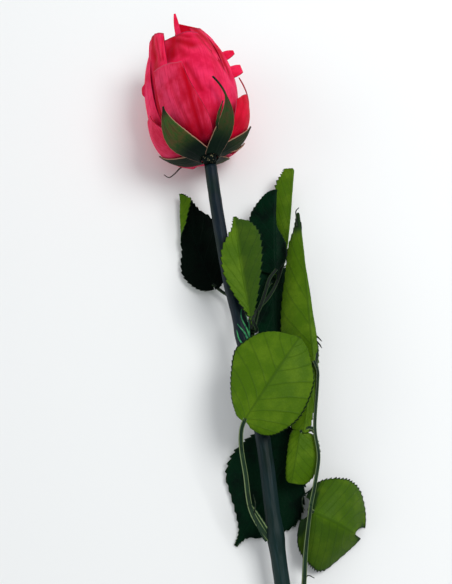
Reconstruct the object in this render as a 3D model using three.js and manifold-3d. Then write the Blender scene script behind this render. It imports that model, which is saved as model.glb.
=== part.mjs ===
// A preserved rose: one long-stemmed bud laid on its side, with its calyx and three compound leaves.
// Lengths are millimetres and angles are degrees. +Y runs along the stem to the bloom and +Z is up.
// The origin is the middle of the flat spot on which the bloom rests.

import * as THREE from "three";
import { mergeVertices } from "three/addons/utils/BufferGeometryUtils.js";
import Module from "manifold-3d";

const wasm = await Module();
wasm.setup();

// Driving dimensions
const GAP = 0.35;
const STEM_TOP_RADIUS = 2.9;
const STEM_CUT_RADIUS = 3.45;
const CUT_SLANT = 24;
const PETAL_THICKNESS = 0.85;
const SEPAL_THICKNESS = 0.8;
const LEAF_THICKNESS = 0.7;
const BLOOM_BASE = [1.3, -28.5, 27];
const BLOOM_PITCH = -3;
const BLOOM_YAW = 1.1;
const BUD_HEIGHT = 68;
const PETAL_ROOT = 1.6;
const ROOT_RADIUS = 3;
const MOUTH_BEND = 2.2;
const PETAL_GRID = 6;
const INNER_PETAL_GRID = 4;
const HIP_LENGTH = 6;
const HIP_RADIUS = 4;

// The stem, from the cut end up to the hip
const STEM_ROUTE = [
  [-1.2, -318, 3.1],
  [-0.4, -270, 7.2],
  [0.6, -222, 10.9],
  [1.6, -196, 12.9],
  [3.2, -164, 15.4],
  [2.7, -140, 17.2],
  [2.2, -110, 19.5],
  [0.9, -93, 20.9],
  [0.7, -68, 22.8],
  [0.9, -52, 24.2],
  [1.45, -35.1, 25.95],
];
// Where the leaves join: the places along the stem, from 0 at the cut, that swell into nodes
const STEM_NODES = [
  { along: 0.262, swell: 0.5 },
  { along: 0.405, swell: 0.6 },
  { along: 0.712, swell: 0.5 },
];
const NODE_SPREAD = 0.018;

// Petals of the outer rings, each turned by `centre` about the bud, where 0 is up and 90 is right.
// A petal covers `span` to either side. It is fullest, `belly` from the axis, at the height `full`,
// and `mouth` from the axis at the top of the bud. A larger `squareness` makes its foot flatter.
// Its lip is highest at `peak`, between -1 and 1, and falls by `drops` to its sides: the fall
// begins at the first and ends at the second share of `slope`. With `sharp` below 1 it falls
// steeply from the peak. `lap` slants the petal over its neighbour, and `lip` flares it.
const PETAL = {
  squareness: 2.5, root: PETAL_ROOT, peak: 0, drops: [5, 5], slope: [0, 1.3], sharp: 1.4, lap: 1, lip: 0.5,
};
const OUTER_PETALS = [
  {
    ...PETAL, centre: -24, span: 39, height: 36.5, belly: 22.6, mouth: 17, full: 30,
    peak: 0.33, drops: [-4, 33], slope: [0, 1], sharp: 0.6, lap: 0,
  },
  {
    ...PETAL, centre: 16, span: 64, height: 61.5, belly: 19.6, mouth: 8, full: 27,
    peak: -0.3, drops: [1, 27], slope: [0.4, 1], sharp: 0.45, lap: -1.2, lip: 0.2,
  },
  {
    ...PETAL, centre: 97, span: 43, height: 71.5, belly: 19.6, mouth: 10, full: 34, squareness: 1.7,
    peak: -0.3, drops: [4, 14], lap: 0.4, lip: 0.2,
  },
  { ...PETAL, centre: 146, span: 44, height: 61, belly: 18.8, mouth: 12, full: 32 },
  { ...PETAL, centre: 205, span: 48, height: 62, belly: 20.4, mouth: 12.6, full: 28, lip: 0.4 },
  {
    ...PETAL, centre: -70, span: 38, height: 67, belly: 21.4, mouth: 15, full: 28,
    peak: 0.1, drops: [2, 7.5], slope: [0, 1], lap: 0.3, lip: 1.4,
  },
  {
    ...PETAL, centre: -106, span: 40, height: 65.5, belly: 25, mouth: 15.6, full: 32,
    peak: 0.8, drops: [6, 1], lap: -0.4, lip: 0.4,
  },
  {
    ...PETAL, centre: -108, span: 52, height: 21.5, belly: 26, mouth: 24, full: 20, squareness: 2.8,
    peak: 0.65, drops: [1.5, 14], slope: [0, 1], sharp: 0.8, lap: -1.8,
  },
  {
    ...PETAL, centre: 87, span: 42, height: 27, belly: 23.8, mouth: 19, full: 24,
    peak: 0.1, drops: [13, 7], slope: [0, 1.1], lap: -0.6, lip: 0.2,
  },
  {
    ...PETAL, centre: 178, span: 52, height: 44, belly: 25.6, mouth: 16, full: 23, squareness: 2.8,
    drops: [12, 12], lap: 0.8,
  },
];

// Torn and curled strips of petal that stand clear: radius and height at foot, middle and end.
// With no `turn` a strip is as wide round the bud as it is long, and at 90 it stands on edge.
const SLIVERS = [
  { centre: -18, width: 1.5, turn: 0, taper: 0.7, route: [[13.4, 56], [12.8, 67], [8.6, 77.3]] },
  { centre: 82, width: 3.2, turn: 80, taper: 0.65, route: [[15, 51], [19, 52], [22.8, 52.6]] },
  { centre: 82, width: 4, turn: 80, taper: 0.35, route: [[18, 41], [21.5, 41.6], [24.6, 42]] },
  { centre: 82, width: 1.1, turn: 0, taper: 0.65, route: [[23.8, 21], [24.1, 28], [22.3, 37]] },
  { centre: 29, width: 7.4, turn: 0, taper: 0.1, route: [[1, 58], [4, 65.5], [7, 70.2]] },
];

// Rings of petals inside those, each ring a pinwheel in which every petal laps the next
const INNER_RINGS = [
  { count: 5, span: 46, belly: 16.6, mouth: 8.4, height: 62.5, root: 16, turn: 10 },
  { count: 4, span: 56, belly: 12.4, mouth: 6, height: 61.4, root: 24, turn: 52 },
  { count: 3, span: 74, belly: 8.4, mouth: 3, height: 59.5, root: 36, turn: 95 },
];

// The packed heart of the bud, inside the rings: radius and height above the base
const BUD_CORE = [
  [0, 1.2], [5, 1.2], [10, 3.6], [14, 8], [15.8, 14], [14.4, 22], [11, 32], [7, 44], [2.4, 56], [0, 57],
];

// Sepals: `reach` is how far each bends round the bud, and `sweep` is how far its tip leans aside
const SEPALS = [
  { centre: 35, sweep: -17, hook: 6, reach: 88, belly: 25, full: 26.4, width: 3.8, tail: 0.84, lobe: -1 },
  { centre: -56, sweep: 9, hook: 2, reach: 72, belly: 25.4, full: 28, width: 7.4, tail: 1, lobe: 0 },
  { centre: 86, sweep: -2, hook: 2, reach: 54, belly: 25.6, full: 26, width: 5.2, tail: 1, lobe: 1 },
  { centre: -124, sweep: 12, hook: 2, reach: 54, belly: 28, full: 24, width: 5.4, tail: 1, lobe: 0 },
  { centre: 155, sweep: 0, hook: 2, reach: 58, belly: 26, full: 25, width: 5, tail: 1, lobe: 1 },
];

// Leaflets. Each runs from `base` to `tip`, bowed up by `rise`, bowed aside by `sway` and turned
// about its midrib by `roll`. Its outline is given row by row, from 0 at the base to 1 at the tip:
// `edge` is how wide a half is there, and `crease` how far from the midrib its fold lies. A half is
// tilted by `fold` and bends by `curl` at its crease, or between two shares of its width, `bend`.
// It bends only past the row `start`. The foot of its margin reaches back by `lobe`, its middle
// leans toward the tip by `lean`, and its end reaches `ahead` of the tip.
const FLAT = { fold: 0, curl: 0, bend: [0.2, 1], start: 0, lobe: 3, lean: 0, ahead: 0 };

const UPPER_LEAFLETS = [
  {
    // Lies on the table to the left of the stem, with its left side rolled over
    base: [-6, -86.4, 4], tip: [-14.1, -36.5, 5], rise: -1.6, sway: -1, roll: 2,
    teeth: 9, across: 6,
    left: {
      ...FLAT, fold: -4, curl: 172, start: 0.4, lobe: 1.6, lean: 1,
      crease: [[0, 7.5], [0.5, 6], [0.66, 3.8], [0.84, 1.2], [1, 0.8]],
      edge: [
        [0, 0.4], [0.08, 4.6], [0.17, 8.2], [0.3, 11.3], [0.38, 10.2], [0.46, 7.6], [0.6, 8],
        [0.8, 7.9], [0.87, 4.2], [1, 0.3],
      ],
    },
    right: {
      ...FLAT, fold: -2, curl: -6, lobe: 2, lean: 3,
      edge: [
        [0, 0.4], [0.06, 3], [0.2, 8], [0.4, 12.8], [0.51, 13.6], [0.61, 10.6], [0.67, 7.2],
        [0.79, 4.6], [1, 0.3],
      ],
    },
  },
  {
    // Crosses over the stem, underside up
    base: [6.8, -112.2, 26], tip: [7.9, -64.2, 29], rise: 0.6, sway: -0.8, roll: -2,
    teeth: 9, across: 4,
    left: {
      ...FLAT, fold: 20, curl: -14, lean: 2,
      edge: [
        [0, 0.4], [0.14, 0.6], [0.28, 4.2], [0.4, 7.8], [0.5, 8.9], [0.59, 7.9], [0.7, 4], [0.77, 1.9],
        [1, 0.3],
      ],
    },
    right: {
      ...FLAT, fold: 24, curl: -22, lobe: 1, lean: 4,
      edge: [
        [0, 0.4], [0.09, 0.9], [0.3, 6.4], [0.45, 10], [0.56, 11.2], [0.68, 10.2], [0.8, 6.4],
        [0.87, 2], [1, 0.3],
      ],
    },
  },
  {
    // Right of the stem, with its right margin turned under
    base: [23.4, -87.4, 12], tip: [30.8, -47, 15.5], rise: 1.4, sway: -0.5, roll: 0,
    teeth: 7, across: 6,
    left: {
      ...FLAT, fold: -22, curl: -16, lean: 3,
      edge: [
        [0, 0.4], [0.12, 1.6], [0.15, 5.6], [0.2, 9.4], [0.32, 13.3], [0.45, 14.3], [0.62, 12.6],
        [0.76, 8.2], [0.9, 4], [1, 0.3],
      ],
    },
    right: {
      ...FLAT, fold: -18, curl: -130,
      crease: [[0, 0.4], [0.16, 2], [0.27, 5.8], [0.4, 5.8], [0.54, 1.2], [1, 0.4]],
      edge: [[0, 0.4], [0.16, 3], [0.27, 10], [0.45, 11], [0.7, 6], [1, 0.3]],
    },
  },
  {
    // Folded lengthwise, underside up
    base: [28.6, -81.8, 8.6], tip: [41.4, -34.6, 10.5], rise: 0.2, sway: 0.8, roll: 0,
    teeth: 7, across: 6,
    left: {
      ...FLAT, fold: -6, curl: -14, lobe: 0, lean: 6,
      edge: [[0, 0.4], [0.24, 0.8], [0.3, 4], [0.42, 7.6], [0.63, 8], [0.77, 5.2], [0.88, 2.3], [1, 0.3]],
    },
    right: {
      ...FLAT, curl: -158, lobe: 0, lean: 2,
      crease: [[0, 0.6], [0.6, 0.7], [0.9, 1.2], [1, 0.6]],
      edge: [[0, 0.4], [0.3, 4], [0.6, 6], [0.85, 3], [1, 0.3]],
    },
  },
  {
    // Hidden below the others
    base: [21, -91, 8.6], tip: [17, -125, 8], rise: 0.6, sway: 0, roll: 0,
    teeth: 4, across: 4,
    left: { ...FLAT, fold: -10, lobe: 0, edge: [[0, 0.4], [0.15, 6], [0.45, 9.6], [0.8, 6], [1, 0.3]] },
    right: { ...FLAT, fold: -10, lobe: 0, edge: [[0, 0.4], [0.15, 6], [0.45, 9.6], [0.8, 6], [1, 0.3]] },
  },
];

const RIGHT_LEAFLETS = [
  {
    // The long one at the end of the stalk, folded lengthwise
    base: [30.6, -135.1, 21.6], tip: [37.6, -64.3, 23], rise: 0.8, sway: 0.2, roll: 0,
    teeth: 10, across: 6,
    left: {
      ...FLAT, fold: -20, curl: -46, lobe: 0,
      edge: [
        [0, 0.4], [0.08, 6], [0.17, 11.5], [0.25, 15.2], [0.33, 16.3], [0.45, 14.5], [0.57, 11],
        [0.7, 7.6], [0.8, 3.4], [0.92, 1.2], [1, 0.3],
      ],
    },
    right: {
      ...FLAT, curl: -150, lobe: 0,
      crease: [[0, 0.6], [0.11, 2.1], [0.26, 2.5], [0.45, 1.6], [0.66, 0.6], [1, 0.6]],
      edge: [[0, 0.4], [0.11, 5], [0.3, 10], [0.55, 8], [0.8, 3], [1, 0.3]],
    },
  },
  {
    // Narrow, hanging back beside the stalk
    base: [33.3, -126.2, 19.5], tip: [20.5, -164.2, 18.4], rise: 0.6, sway: 0, roll: 0,
    teeth: 6, across: 4,
    left: { ...FLAT, fold: -4, lobe: 0, edge: [[0, 0.4], [0.14, 1.8], [0.5, 3.3], [0.9, 2.4], [1, 0.3]] },
    right: {
      ...FLAT, fold: -12, curl: -30, lobe: 0,
      edge: [[0, 0.4], [0.27, 2.4], [0.5, 4], [0.72, 5.7], [0.88, 5.6], [0.95, 1.4], [1, 0.3]],
    },
  },
  {
    // Short, with its end turned under
    base: [19.3, -163.1, 18], tip: [11.6, -183.6, 14.6], rise: 1.2, sway: 0, roll: 0,
    teeth: 5, across: 4,
    left: {
      ...FLAT, fold: -6, curl: -30, lobe: 0,
      edge: [[0, 6], [0.15, 8.4], [0.36, 10.6], [0.5, 11], [0.65, 10.4], [0.8, 8.6], [0.92, 6.6], [1, 5]],
    },
    right: {
      ...FLAT, fold: -16, curl: -60, bend: [0.5, 1], lobe: 0,
      edge: [[0, 3.6], [0.25, 4.8], [0.5, 4.4], [0.85, 3], [0.94, 1.8], [1, 0.6]],
    },
  },
  {
    // The broad one that passes under the stem and touches the table
    base: [19.4, -165, 9.5], tip: [-15.6, -204, 0.6], rise: -1, sway: 0, roll: 0,
    teeth: 9, across: 4,
    left: {
      ...FLAT, fold: -4, curl: -6,
      edge: [
        [0, 0.4], [0.15, 5], [0.33, 10.6], [0.46, 16.2], [0.54, 17.9], [0.63, 15], [0.68, 12.6],
        [0.74, 7.6], [0.8, 2.4], [1, 0.3],
      ],
    },
    right: {
      ...FLAT, fold: -9, curl: 10,
      edge: [
        [0, 0.4], [0.1, 8], [0.24, 16.2], [0.34, 20.4], [0.45, 22], [0.54, 20], [0.6, 15.2],
        [0.67, 9], [0.75, 3.6], [0.82, 1.4], [1, 0.3],
      ],
    },
  },
  {
    // To the right of the stalk, with a notched end
    base: [17.8, -196.2, 12.8], tip: [35.2, -208, 5.5], rise: 4, sway: 0, roll: 0,
    teeth: 9, across: 4,
    left: {
      ...FLAT, fold: -10, curl: -16, lobe: 5, lean: 2, ahead: 7,
      edge: [
        [0, 5.7], [0.03, 8.9], [0.1, 12.3], [0.2, 16], [0.34, 19], [0.5, 20.8], [0.7, 19],
        [0.85, 13], [1, 5.5],
      ],
    },
    right: {
      ...FLAT, fold: -14, curl: -14, lobe: 3.4, lean: 1, ahead: 5,
      edge: [
        [0, 5.3], [0.03, 8.3], [0.09, 12], [0.2, 16.8], [0.35, 20], [0.54, 21.7], [0.64, 21.7],
        [0.74, 19], [0.85, 10], [1, 0.4],
      ],
    },
  },
];

const LEFT_LEAFLETS = [
  {
    // The round one that crosses over the stem
    base: [-4.1, -156.4, 27], tip: [25.7, -125.2, 29], rise: 1.4, sway: 0, roll: 0,
    teeth: 10, across: 6,
    left: {
      ...FLAT, fold: -5, curl: -22, lobe: 0.4,
      edge: [
        [0, 0.6], [0.06, 3.6], [0.13, 6], [0.23, 10.5], [0.41, 17.8], [0.53, 21.4], [0.62, 20.2],
        [0.74, 16.4], [0.84, 10.4], [0.91, 4], [1, 0.8],
      ],
    },
    right: {
      ...FLAT, fold: -5, curl: -18, lobe: 1.2, lean: -1,
      edge: [
        [0, 4], [0.04, 8.2], [0.14, 12.8], [0.25, 16.2], [0.39, 19], [0.52, 18.6], [0.66, 15.8],
        [0.75, 11.3], [0.86, 6], [0.95, 1.6], [1, 0.4],
      ],
    },
  },
];
// Half the length over which a crease bends, how gradually a fold begins, and the height of a tooth
const CREASE_REACH = 0.9;
const FOLD_RUN = 0.24;
const TOOTH = 0.35;
// A bend this small stands for none
const STRAIGHT = 0.01;

// Stalks of the leaves: each is a route with its radius at both ends
const UPPER_STALKS = [
  {
    radii: [1.3, 1],
    route: [
      [2.6, -120, 19], [7.4, -112.5, 18], [13.1, -103.5, 14.6], [17, -96, 12.8], [20, -90, 12],
      [24, -86, 12],
    ],
  },
  {
    radii: [0.9, 0.8],
    route: [[13.1, -103.5, 14.4], [17.4, -99.5, 12.6], [22.4, -93, 10.4], [28.8, -81, 9]],
  },
  {
    radii: [0.9, 0.7],
    route: [[9.5, -109.5, 16.8], [5.4, -103, 9.6], [2.6, -95, 5.4], [-2, -90, 3.4], [-6.2, -85.4, 3.9]],
  },
  {
    radii: [0.9, 0.8],
    route: [[5.6, -115.5, 18.6], [8.6, -117, 22.4], [7.6, -114, 25.4], [6.9, -111, 26]],
  },
  { radii: [0.8, 0.7], route: [[17.8, -94.4, 12.7], [20.2, -92, 11], [21, -91.6, 8.8]] },
];
const RIGHT_STALKS = [
  {
    radii: [1.3, 1],
    route: [[1.6, -246, 9], [6, -237.5, 9.2], [9.4, -224.2, 9.8], [12.8, -210.4, 12], [18, -194, 14.2]],
  },
  {
    radii: [1, 0.8],
    route: [
      [18, -194, 14.2], [21.9, -184.4, 15.6], [25, -174.8, 17.6], [25.6, -163.6, 18.6], [30.4, -145, 20],
      [31.6, -139, 21.2], [30.8, -134.6, 21.8],
    ],
  },
  {
    radii: [0.9, 0.7],
    route: [[31.2, -137, 21], [33, -131, 21.4], [33.6, -127, 20.4], [33.2, -126.4, 19.6]],
  },
  { radii: [0.9, 0.7], route: [[25.6, -163.6, 18.5], [23.2, -162.4, 18.2], [19.2, -163.6, 18]] },
  {
    radii: [0.9, 0.8],
    route: [[25.4, -164.6, 18], [24.6, -162.6, 14], [22, -162.8, 10.4], [18.6, -166, 9.4]],
  },
  { radii: [1.1, 0.8], route: [[17.4, -195.6, 14], [17.6, -196, 13.2], [18.8, -196.8, 13.2]] },
];
const LEFT_STALKS = [
  {
    radii: [1.2, 1.1],
    route: [
      [0.8, -208, 12], [-3.4, -201.5, 13.2], [-7.1, -191.8, 15.2], [-7, -177.6, 18.4],
      [-6.9, -165.5, 22.4], [-5.6, -159.4, 25.6], [-3.4, -155.6, 27],
    ],
  },
];

// Stipules: the paired wings at the foot of each leaf stalk
const STIPULES = {
  upper: { base: [4.6, -117.6, 18.9], tip: [10.4, -107.6, 17.6], width: 2.4 },
  right: { base: [3.6, -242.6, 9.2], tip: [8.8, -228, 10.2], width: 1.9 },
  left: { base: [-1.6, -204.6, 12.6], tip: [-6.6, -191.6, 15.6], width: 1.9 },
};

function radians(angle) {
  return THREE.MathUtils.degToRad(angle);
}

function point(triple) {
  return new THREE.Vector3(...triple);
}

// A closed blade of even thickness over the middle surface(u, v), with v from -1 to 1.
// Both faces carry the same grid and are split along the same diagonals.
function blade(steps, across, surface, thickness) {
  const columns = across + 1;
  const middle = [];
  for (let i = 0; i <= steps; i += 1) {
    for (let j = 0; j <= across; j += 1) {
      middle.push(surface(i / steps, (2 * j) / across - 1));
    }
  }
  const at = (i, j) => middle[i * columns + j];
  const positions = [];
  for (const side of [0.5, -0.5]) {
    for (let i = 0; i <= steps; i += 1) {
      for (let j = 0; j <= across; j += 1) {
        const along = at(Math.min(i + 1, steps), j).clone().sub(at(Math.max(i - 1, 0), j));
        const aside = at(i, Math.min(j + 1, across)).clone().sub(at(i, Math.max(j - 1, 0)));
        const normal = along.cross(aside).normalize();
        positions.push(...at(i, j).clone().addScaledVector(normal, side * thickness));
      }
    }
  }
  const back = middle.length;
  const triangles = [];
  for (let i = 0; i < steps; i += 1) {
    for (let j = 0; j < across; j += 1) {
      const a = i * columns + j;
      const b = a + columns;
      const c = b + 1;
      const d = a + 1;
      triangles.push(a, b, c, a, c, d);
      triangles.push(back + a, back + c, back + b, back + a, back + d, back + c);
    }
  }
  const border = [];
  for (let i = 0; i < steps; i += 1) border.push(i * columns);
  for (let j = 0; j < across; j += 1) border.push(steps * columns + j);
  for (let i = steps; i > 0; i -= 1) border.push(i * columns + across);
  for (let j = across; j > 0; j -= 1) border.push(j);
  border.forEach((from, index) => {
    const to = border[(index + 1) % border.length];
    triangles.push(to, from, back + from, to, back + from, back + to);
  });
  const geometry = new THREE.BufferGeometry();
  geometry.setAttribute("position", new THREE.Float32BufferAttribute(positions, 3));
  geometry.setIndex(triangles);
  return geometry;
}

// A round rod with closed ends: a cylinder whose rings are moved onto a smooth route
function rod(route, radiusAt, sides, steps) {
  const curve = new THREE.CatmullRomCurve3(route.map(point), false, "centripetal");
  const geometry = new THREE.CylinderGeometry(1, 1, 1, sides, steps);
  const position = geometry.attributes.position;
  const frames = [];
  for (let i = 0; i <= steps; i += 1) {
    const along = curve.getTangentAt(i / steps);
    const side = new THREE.Vector3(0, 0, 1).cross(along).normalize();
    frames.push({ centre: curve.getPointAt(i / steps), side, up: side.clone().cross(along) });
  }
  for (let k = 0; k < position.count; k += 1) {
    const share = position.getY(k) + 0.5;
    const { centre, side, up } = frames[Math.round(share * steps)];
    const radius = radiusAt(share);
    const moved = centre.clone();
    moved.addScaledVector(side, position.getX(k) * radius);
    moved.addScaledVector(up, position.getZ(k) * radius);
    position.setXYZ(k, moved.x, moved.y, moved.z);
  }
  return geometry;
}

function solid(geometry) {
  const plain = geometry.clone();
  plain.deleteAttribute("normal");
  plain.deleteAttribute("uv");
  const merged = mergeVertices(plain, 1e-4);
  const shape = new wasm.Manifold(new wasm.Mesh({
    numProp: 3,
    vertProperties: new Float32Array(merged.attributes.position.array),
    triVerts: new Uint32Array(merged.index.array),
  }));
  return shape;
}

// Joins the pieces and keeps the one body they make, without loose scraps or sealed hollows
function fused(shapes) {
  const bodies = wasm.Manifold.union(shapes).decompose();
  return bodies.reduce((largest, body) => (body.volume() > largest.volume() ? body : largest));
}

function geometryOf(shape) {
  const mesh = shape.getMesh();
  const geometry = new THREE.BufferGeometry();
  geometry.setAttribute("position", new THREE.Float32BufferAttribute(mesh.vertProperties, 3));
  geometry.setIndex([...mesh.triVerts]);
  return geometry;
}

// Everything below the surface on which the rose lies, which flattens what presses on it
function ground() {
  const depth = 40;
  const box = new THREE.BoxGeometry(400, 1000, depth);
  box.translate(0, -140, -depth / 2);
  return solid(box);
}

// How far a petal stands from the axis of the bud at a height above its foot
function petalRadius(petal, height) {
  if (height < petal.full) {
    const below = 1 - height / petal.full;
    const rise = (1 - below ** petal.squareness) ** (1 / petal.squareness);
    return ROOT_RADIUS + (petal.belly - ROOT_RADIUS) * rise;
  }
  const past = (height - petal.full) / (BUD_HEIGHT - petal.full);
  return petal.mouth + (petal.belly - petal.mouth) * (1 - past ** MOUTH_BEND);
}

function roundAxis(radius, height, angle) {
  const turn = radians(angle);
  return new THREE.Vector3(radius * Math.sin(turn), height, radius * Math.cos(turn));
}

function petalSurface(petal) {
  return (u, v) => {
    const toLeft = v < petal.peak;
    const side = toLeft ? (petal.peak - v) / (1 + petal.peak) : (v - petal.peak) / (1 - petal.peak);
    const [start, end] = petal.slope;
    const fall = THREE.MathUtils.clamp((side - start) / (end - start), 0, 1) ** petal.sharp;
    const top = petal.height - petal.drops[toLeft ? 0 : 1] * fall;
    const height = THREE.MathUtils.lerp(petal.root, top, u ** 1.5);
    const flare = petal.lip * Math.max(0, (u - 0.7) / 0.3) ** 2;
    const radius = petalRadius(petal, height - PETAL_ROOT) + petal.lap * v * Math.min(1, 3 * u) + flare;
    return roundAxis(radius, height, petal.centre + petal.span * v);
  };
}

function sliverSurface(sliver) {
  const places = sliver.route.map(([radius, height]) => roundAxis(radius, height, sliver.centre));
  const [foot, middle, end] = places;
  const bulge = middle.multiplyScalar(2).addScaledVector(foot, -0.5).addScaledVector(end, -0.5);
  const line = new THREE.QuadraticBezierCurve3(foot, bulge, end);
  const round = roundAxis(1, 0, sliver.centre + 90);
  return (u, v) => {
    const aside = round.clone().applyAxisAngle(line.getTangent(u), radians(sliver.turn));
    return line.getPoint(u).addScaledVector(aside, sliver.width * (1 - sliver.taper * u ** 3) * v);
  };
}

// The bloom and calyx are made upright on their own axis, Y, and then laid in place
function laid(geometry) {
  geometry.rotateX(radians(BLOOM_PITCH));
  geometry.rotateZ(radians(BLOOM_YAW));
  return geometry.translate(...BLOOM_BASE);
}

function bloom() {
  const shapes = OUTER_PETALS.map((petal) => {
    return solid(laid(blade(PETAL_GRID, PETAL_GRID, petalSurface(petal), PETAL_THICKNESS)));
  });
  for (const ring of INNER_RINGS) {
    for (let k = 0; k < ring.count; k += 1) {
      const petal = {
        ...PETAL,
        ...ring,
        centre: ring.turn + (360 * k) / ring.count,
        height: ring.height + 1.2 * Math.sin(2.3 * k + ring.turn),
        full: 28,
        lap: ring.belly / 17,
      };
      const grid = blade(INNER_PETAL_GRID, INNER_PETAL_GRID, petalSurface(petal), PETAL_THICKNESS);
      shapes.push(solid(laid(grid)));
    }
  }
  for (const sliver of SLIVERS) {
    shapes.push(solid(laid(blade(4, 1, sliverSurface(sliver), PETAL_THICKNESS))));
  }
  const core = new THREE.LatheGeometry(BUD_CORE.map(([r, y]) => new THREE.Vector2(r, y)), 12);
  shapes.push(solid(laid(core)));
  return fused(shapes);
}

// A sepal springs from the rim of the hip and bends up round the bud, close over the petals.
// Past the share `tail` of its length it is only a thread.
function sepalSurface(sepal, spare) {
  return (u, v) => {
    const bend = radians(sepal.reach + 3 * spare) * u;
    const rise = Math.sign(Math.cos(bend)) * Math.abs(Math.cos(bend)) ** 0.8;
    const radius = HIP_RADIUS - 1 + (sepal.belly - HIP_RADIUS + 1) * Math.sin(bend) ** 0.8;
    const taper = Math.sin(Math.PI * (0.2 + 0.8 * Math.min(1, u / sepal.tail)));
    const width = Math.max(0.4, sepal.width * taper ** 1.1) + spare;
    const angle = sepal.centre + sepal.sweep * u ** sepal.hook;
    const swing = THREE.MathUtils.radToDeg((width * v) / Math.max(radius, 5));
    return roundAxis(radius, sepal.full * (1 - rise), angle + swing);
  };
}

// The narrow side lobe that some sepals carry near the middle of one margin
function lobeSurface(sepal, spare) {
  const whole = sepalSurface(sepal, 0);
  return (u, v) => {
    const share = 0.3 + (0.42 + 0.06 * spare) * u;
    const start = whole(share, sepal.lobe * (0.7 + 0.75 * u));
    const beside = whole(share + 0.02, sepal.lobe * (0.7 + 0.75 * u));
    const out = start.clone().setY(0).normalize();
    const aside = beside.sub(start).normalize().cross(out);
    const width = Math.max(0.25, 0.95 * Math.sin(Math.PI * (0.25 + 0.75 * u))) + spare;
    return start.addScaledVector(aside, width * v).addScaledVector(out, 0.5 * u);
  };
}

// The hip and the sepals. With `spare` it is that much larger all over.
function calyx(spare) {
  const thickness = SEPAL_THICKNESS + 2 * spare;
  const hip = new THREE.LatheGeometry([
    new THREE.Vector2(0, -HIP_LENGTH),
    new THREE.Vector2(STEM_TOP_RADIUS, -HIP_LENGTH),
    new THREE.Vector2(HIP_RADIUS - 0.4, -0.6 * HIP_LENGTH),
    new THREE.Vector2(HIP_RADIUS, -0.3 * HIP_LENGTH),
    new THREE.Vector2(HIP_RADIUS + 0.5, thickness / 2),
    new THREE.Vector2(0, thickness / 2),
  ], 10);
  const shapes = [solid(laid(hip))];
  for (const sepal of SEPALS) {
    shapes.push(solid(laid(blade(7, 4, sepalSurface(sepal, spare), thickness))));
    if (sepal.lobe) shapes.push(solid(laid(blade(4, 1, lobeSurface(sepal, spare), thickness))));
  }
  return fused(shapes);
}

// The value at a place on the smooth line through a table of places and values
function level(table, place) {
  const index = Math.max(0, table.findLastIndex((row, k) => row[0] <= place && k < table.length - 1));
  const [start, low] = table[index];
  const [end, high] = table[index + 1];
  const before = table[Math.max(index - 1, 0)];
  const after = table[Math.min(index + 2, table.length - 1)];
  const width = end - start;
  const leave = ((high - before[1]) / (end - before[0])) * width;
  const arrive = ((after[1] - low) / (after[0] - start)) * width;
  const share = THREE.MathUtils.clamp((place - start) / width, 0, 1);
  const swing = leave * share * (1 - share) ** 2 - arrive * share ** 2 * (1 - share);
  return THREE.MathUtils.lerp(low, high, THREE.MathUtils.smoothstep(share, 0, 1)) + swing;
}

// A leaf half in section: straight, then bent by `angle` from `start` to `end`, then straight again
function section(distance, fold, start, end, angle) {
  const first = Math.min(distance, start);
  let aside = first * Math.cos(fold);
  let up = first * Math.sin(fold);
  if (distance <= start) return { aside, up };
  const turned = angle * Math.min(1, (distance - start) / (end - start));
  const radius = (end - start) / angle;
  aside += radius * (Math.sin(fold + turned) - Math.sin(fold));
  up += radius * (Math.cos(fold) - Math.cos(fold + turned));
  const rest = Math.max(0, distance - end);
  aside += rest * Math.cos(fold + turned);
  up += rest * Math.sin(fold + turned);
  return { aside, up };
}

function leafletSurface(leaf) {
  const base = point(leaf.base);
  const tip = point(leaf.tip);
  const chord = tip.clone().sub(base).normalize();
  const crown = base.clone().add(tip).multiplyScalar(0.5);
  crown.addScaledVector(chord.clone().cross(new THREE.Vector3(0, 0, 1)), 2 * leaf.sway);
  crown.z += 2 * leaf.rise;
  const midrib = new THREE.QuadraticBezierCurve3(base, crown, tip);
  return (row, v) => {
    const u = (1 - Math.cos(Math.PI * row)) / 2;
    const along = midrib.getTangent(u);
    const side = along.clone().cross(new THREE.Vector3(0, 0, 1)).normalize();
    const face = side.clone().cross(along);
    const roll = radians(leaf.roll);
    side.applyAxisAngle(along, roll);
    face.applyAxisAngle(along, roll);
    const half = v < 0 ? leaf.left : leaf.right;
    const share = Math.abs(v);
    const tooth = TOOTH * Math.cos(2 * Math.PI * leaf.teeth * row) * share ** 6;
    const width = Math.max(0.3, level(half.edge, row) + tooth);
    let [start, end] = half.bend.map((limit) => limit * width);
    if (half.crease) {
      start = Math.max(0.1, level(half.crease, row) - CREASE_REACH);
      end = start + 2 * CREASE_REACH;
    }
    const grown = half.start > 0 ? THREE.MathUtils.smoothstep(row, half.start, half.start + FOLD_RUN) : 1;
    const angle = radians(half.curl * grown + STRAIGHT);
    const { aside, up } = section(share * width, radians(half.fold), start, end, angle);
    const place = midrib.getPoint(u);
    place.addScaledVector(side, Math.sign(v) * aside);
    place.addScaledVector(face, up);
    const shift = 4 * half.lean * u * (1 - u) - half.lobe * (1 - u) ** 4 + half.ahead * u ** 4;
    place.addScaledVector(along, share * share * shift);
    return place;
  };
}

function stipuleSurface(stipule) {
  const base = point(stipule.base);
  const tip = point(stipule.tip);
  const along = tip.clone().sub(base);
  const side = along.clone().cross(new THREE.Vector3(0, 0, 1)).normalize();
  return (u, v) => {
    const width = Math.max(0.3, stipule.width * Math.cos(1.45 * u) ** 0.6);
    const place = base.clone().addScaledVector(along, u * (1 + 0.18 * Math.abs(v)));
    place.addScaledVector(side, width * v);
    place.z += 0.35 * width * Math.abs(v);
    return place;
  };
}

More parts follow.
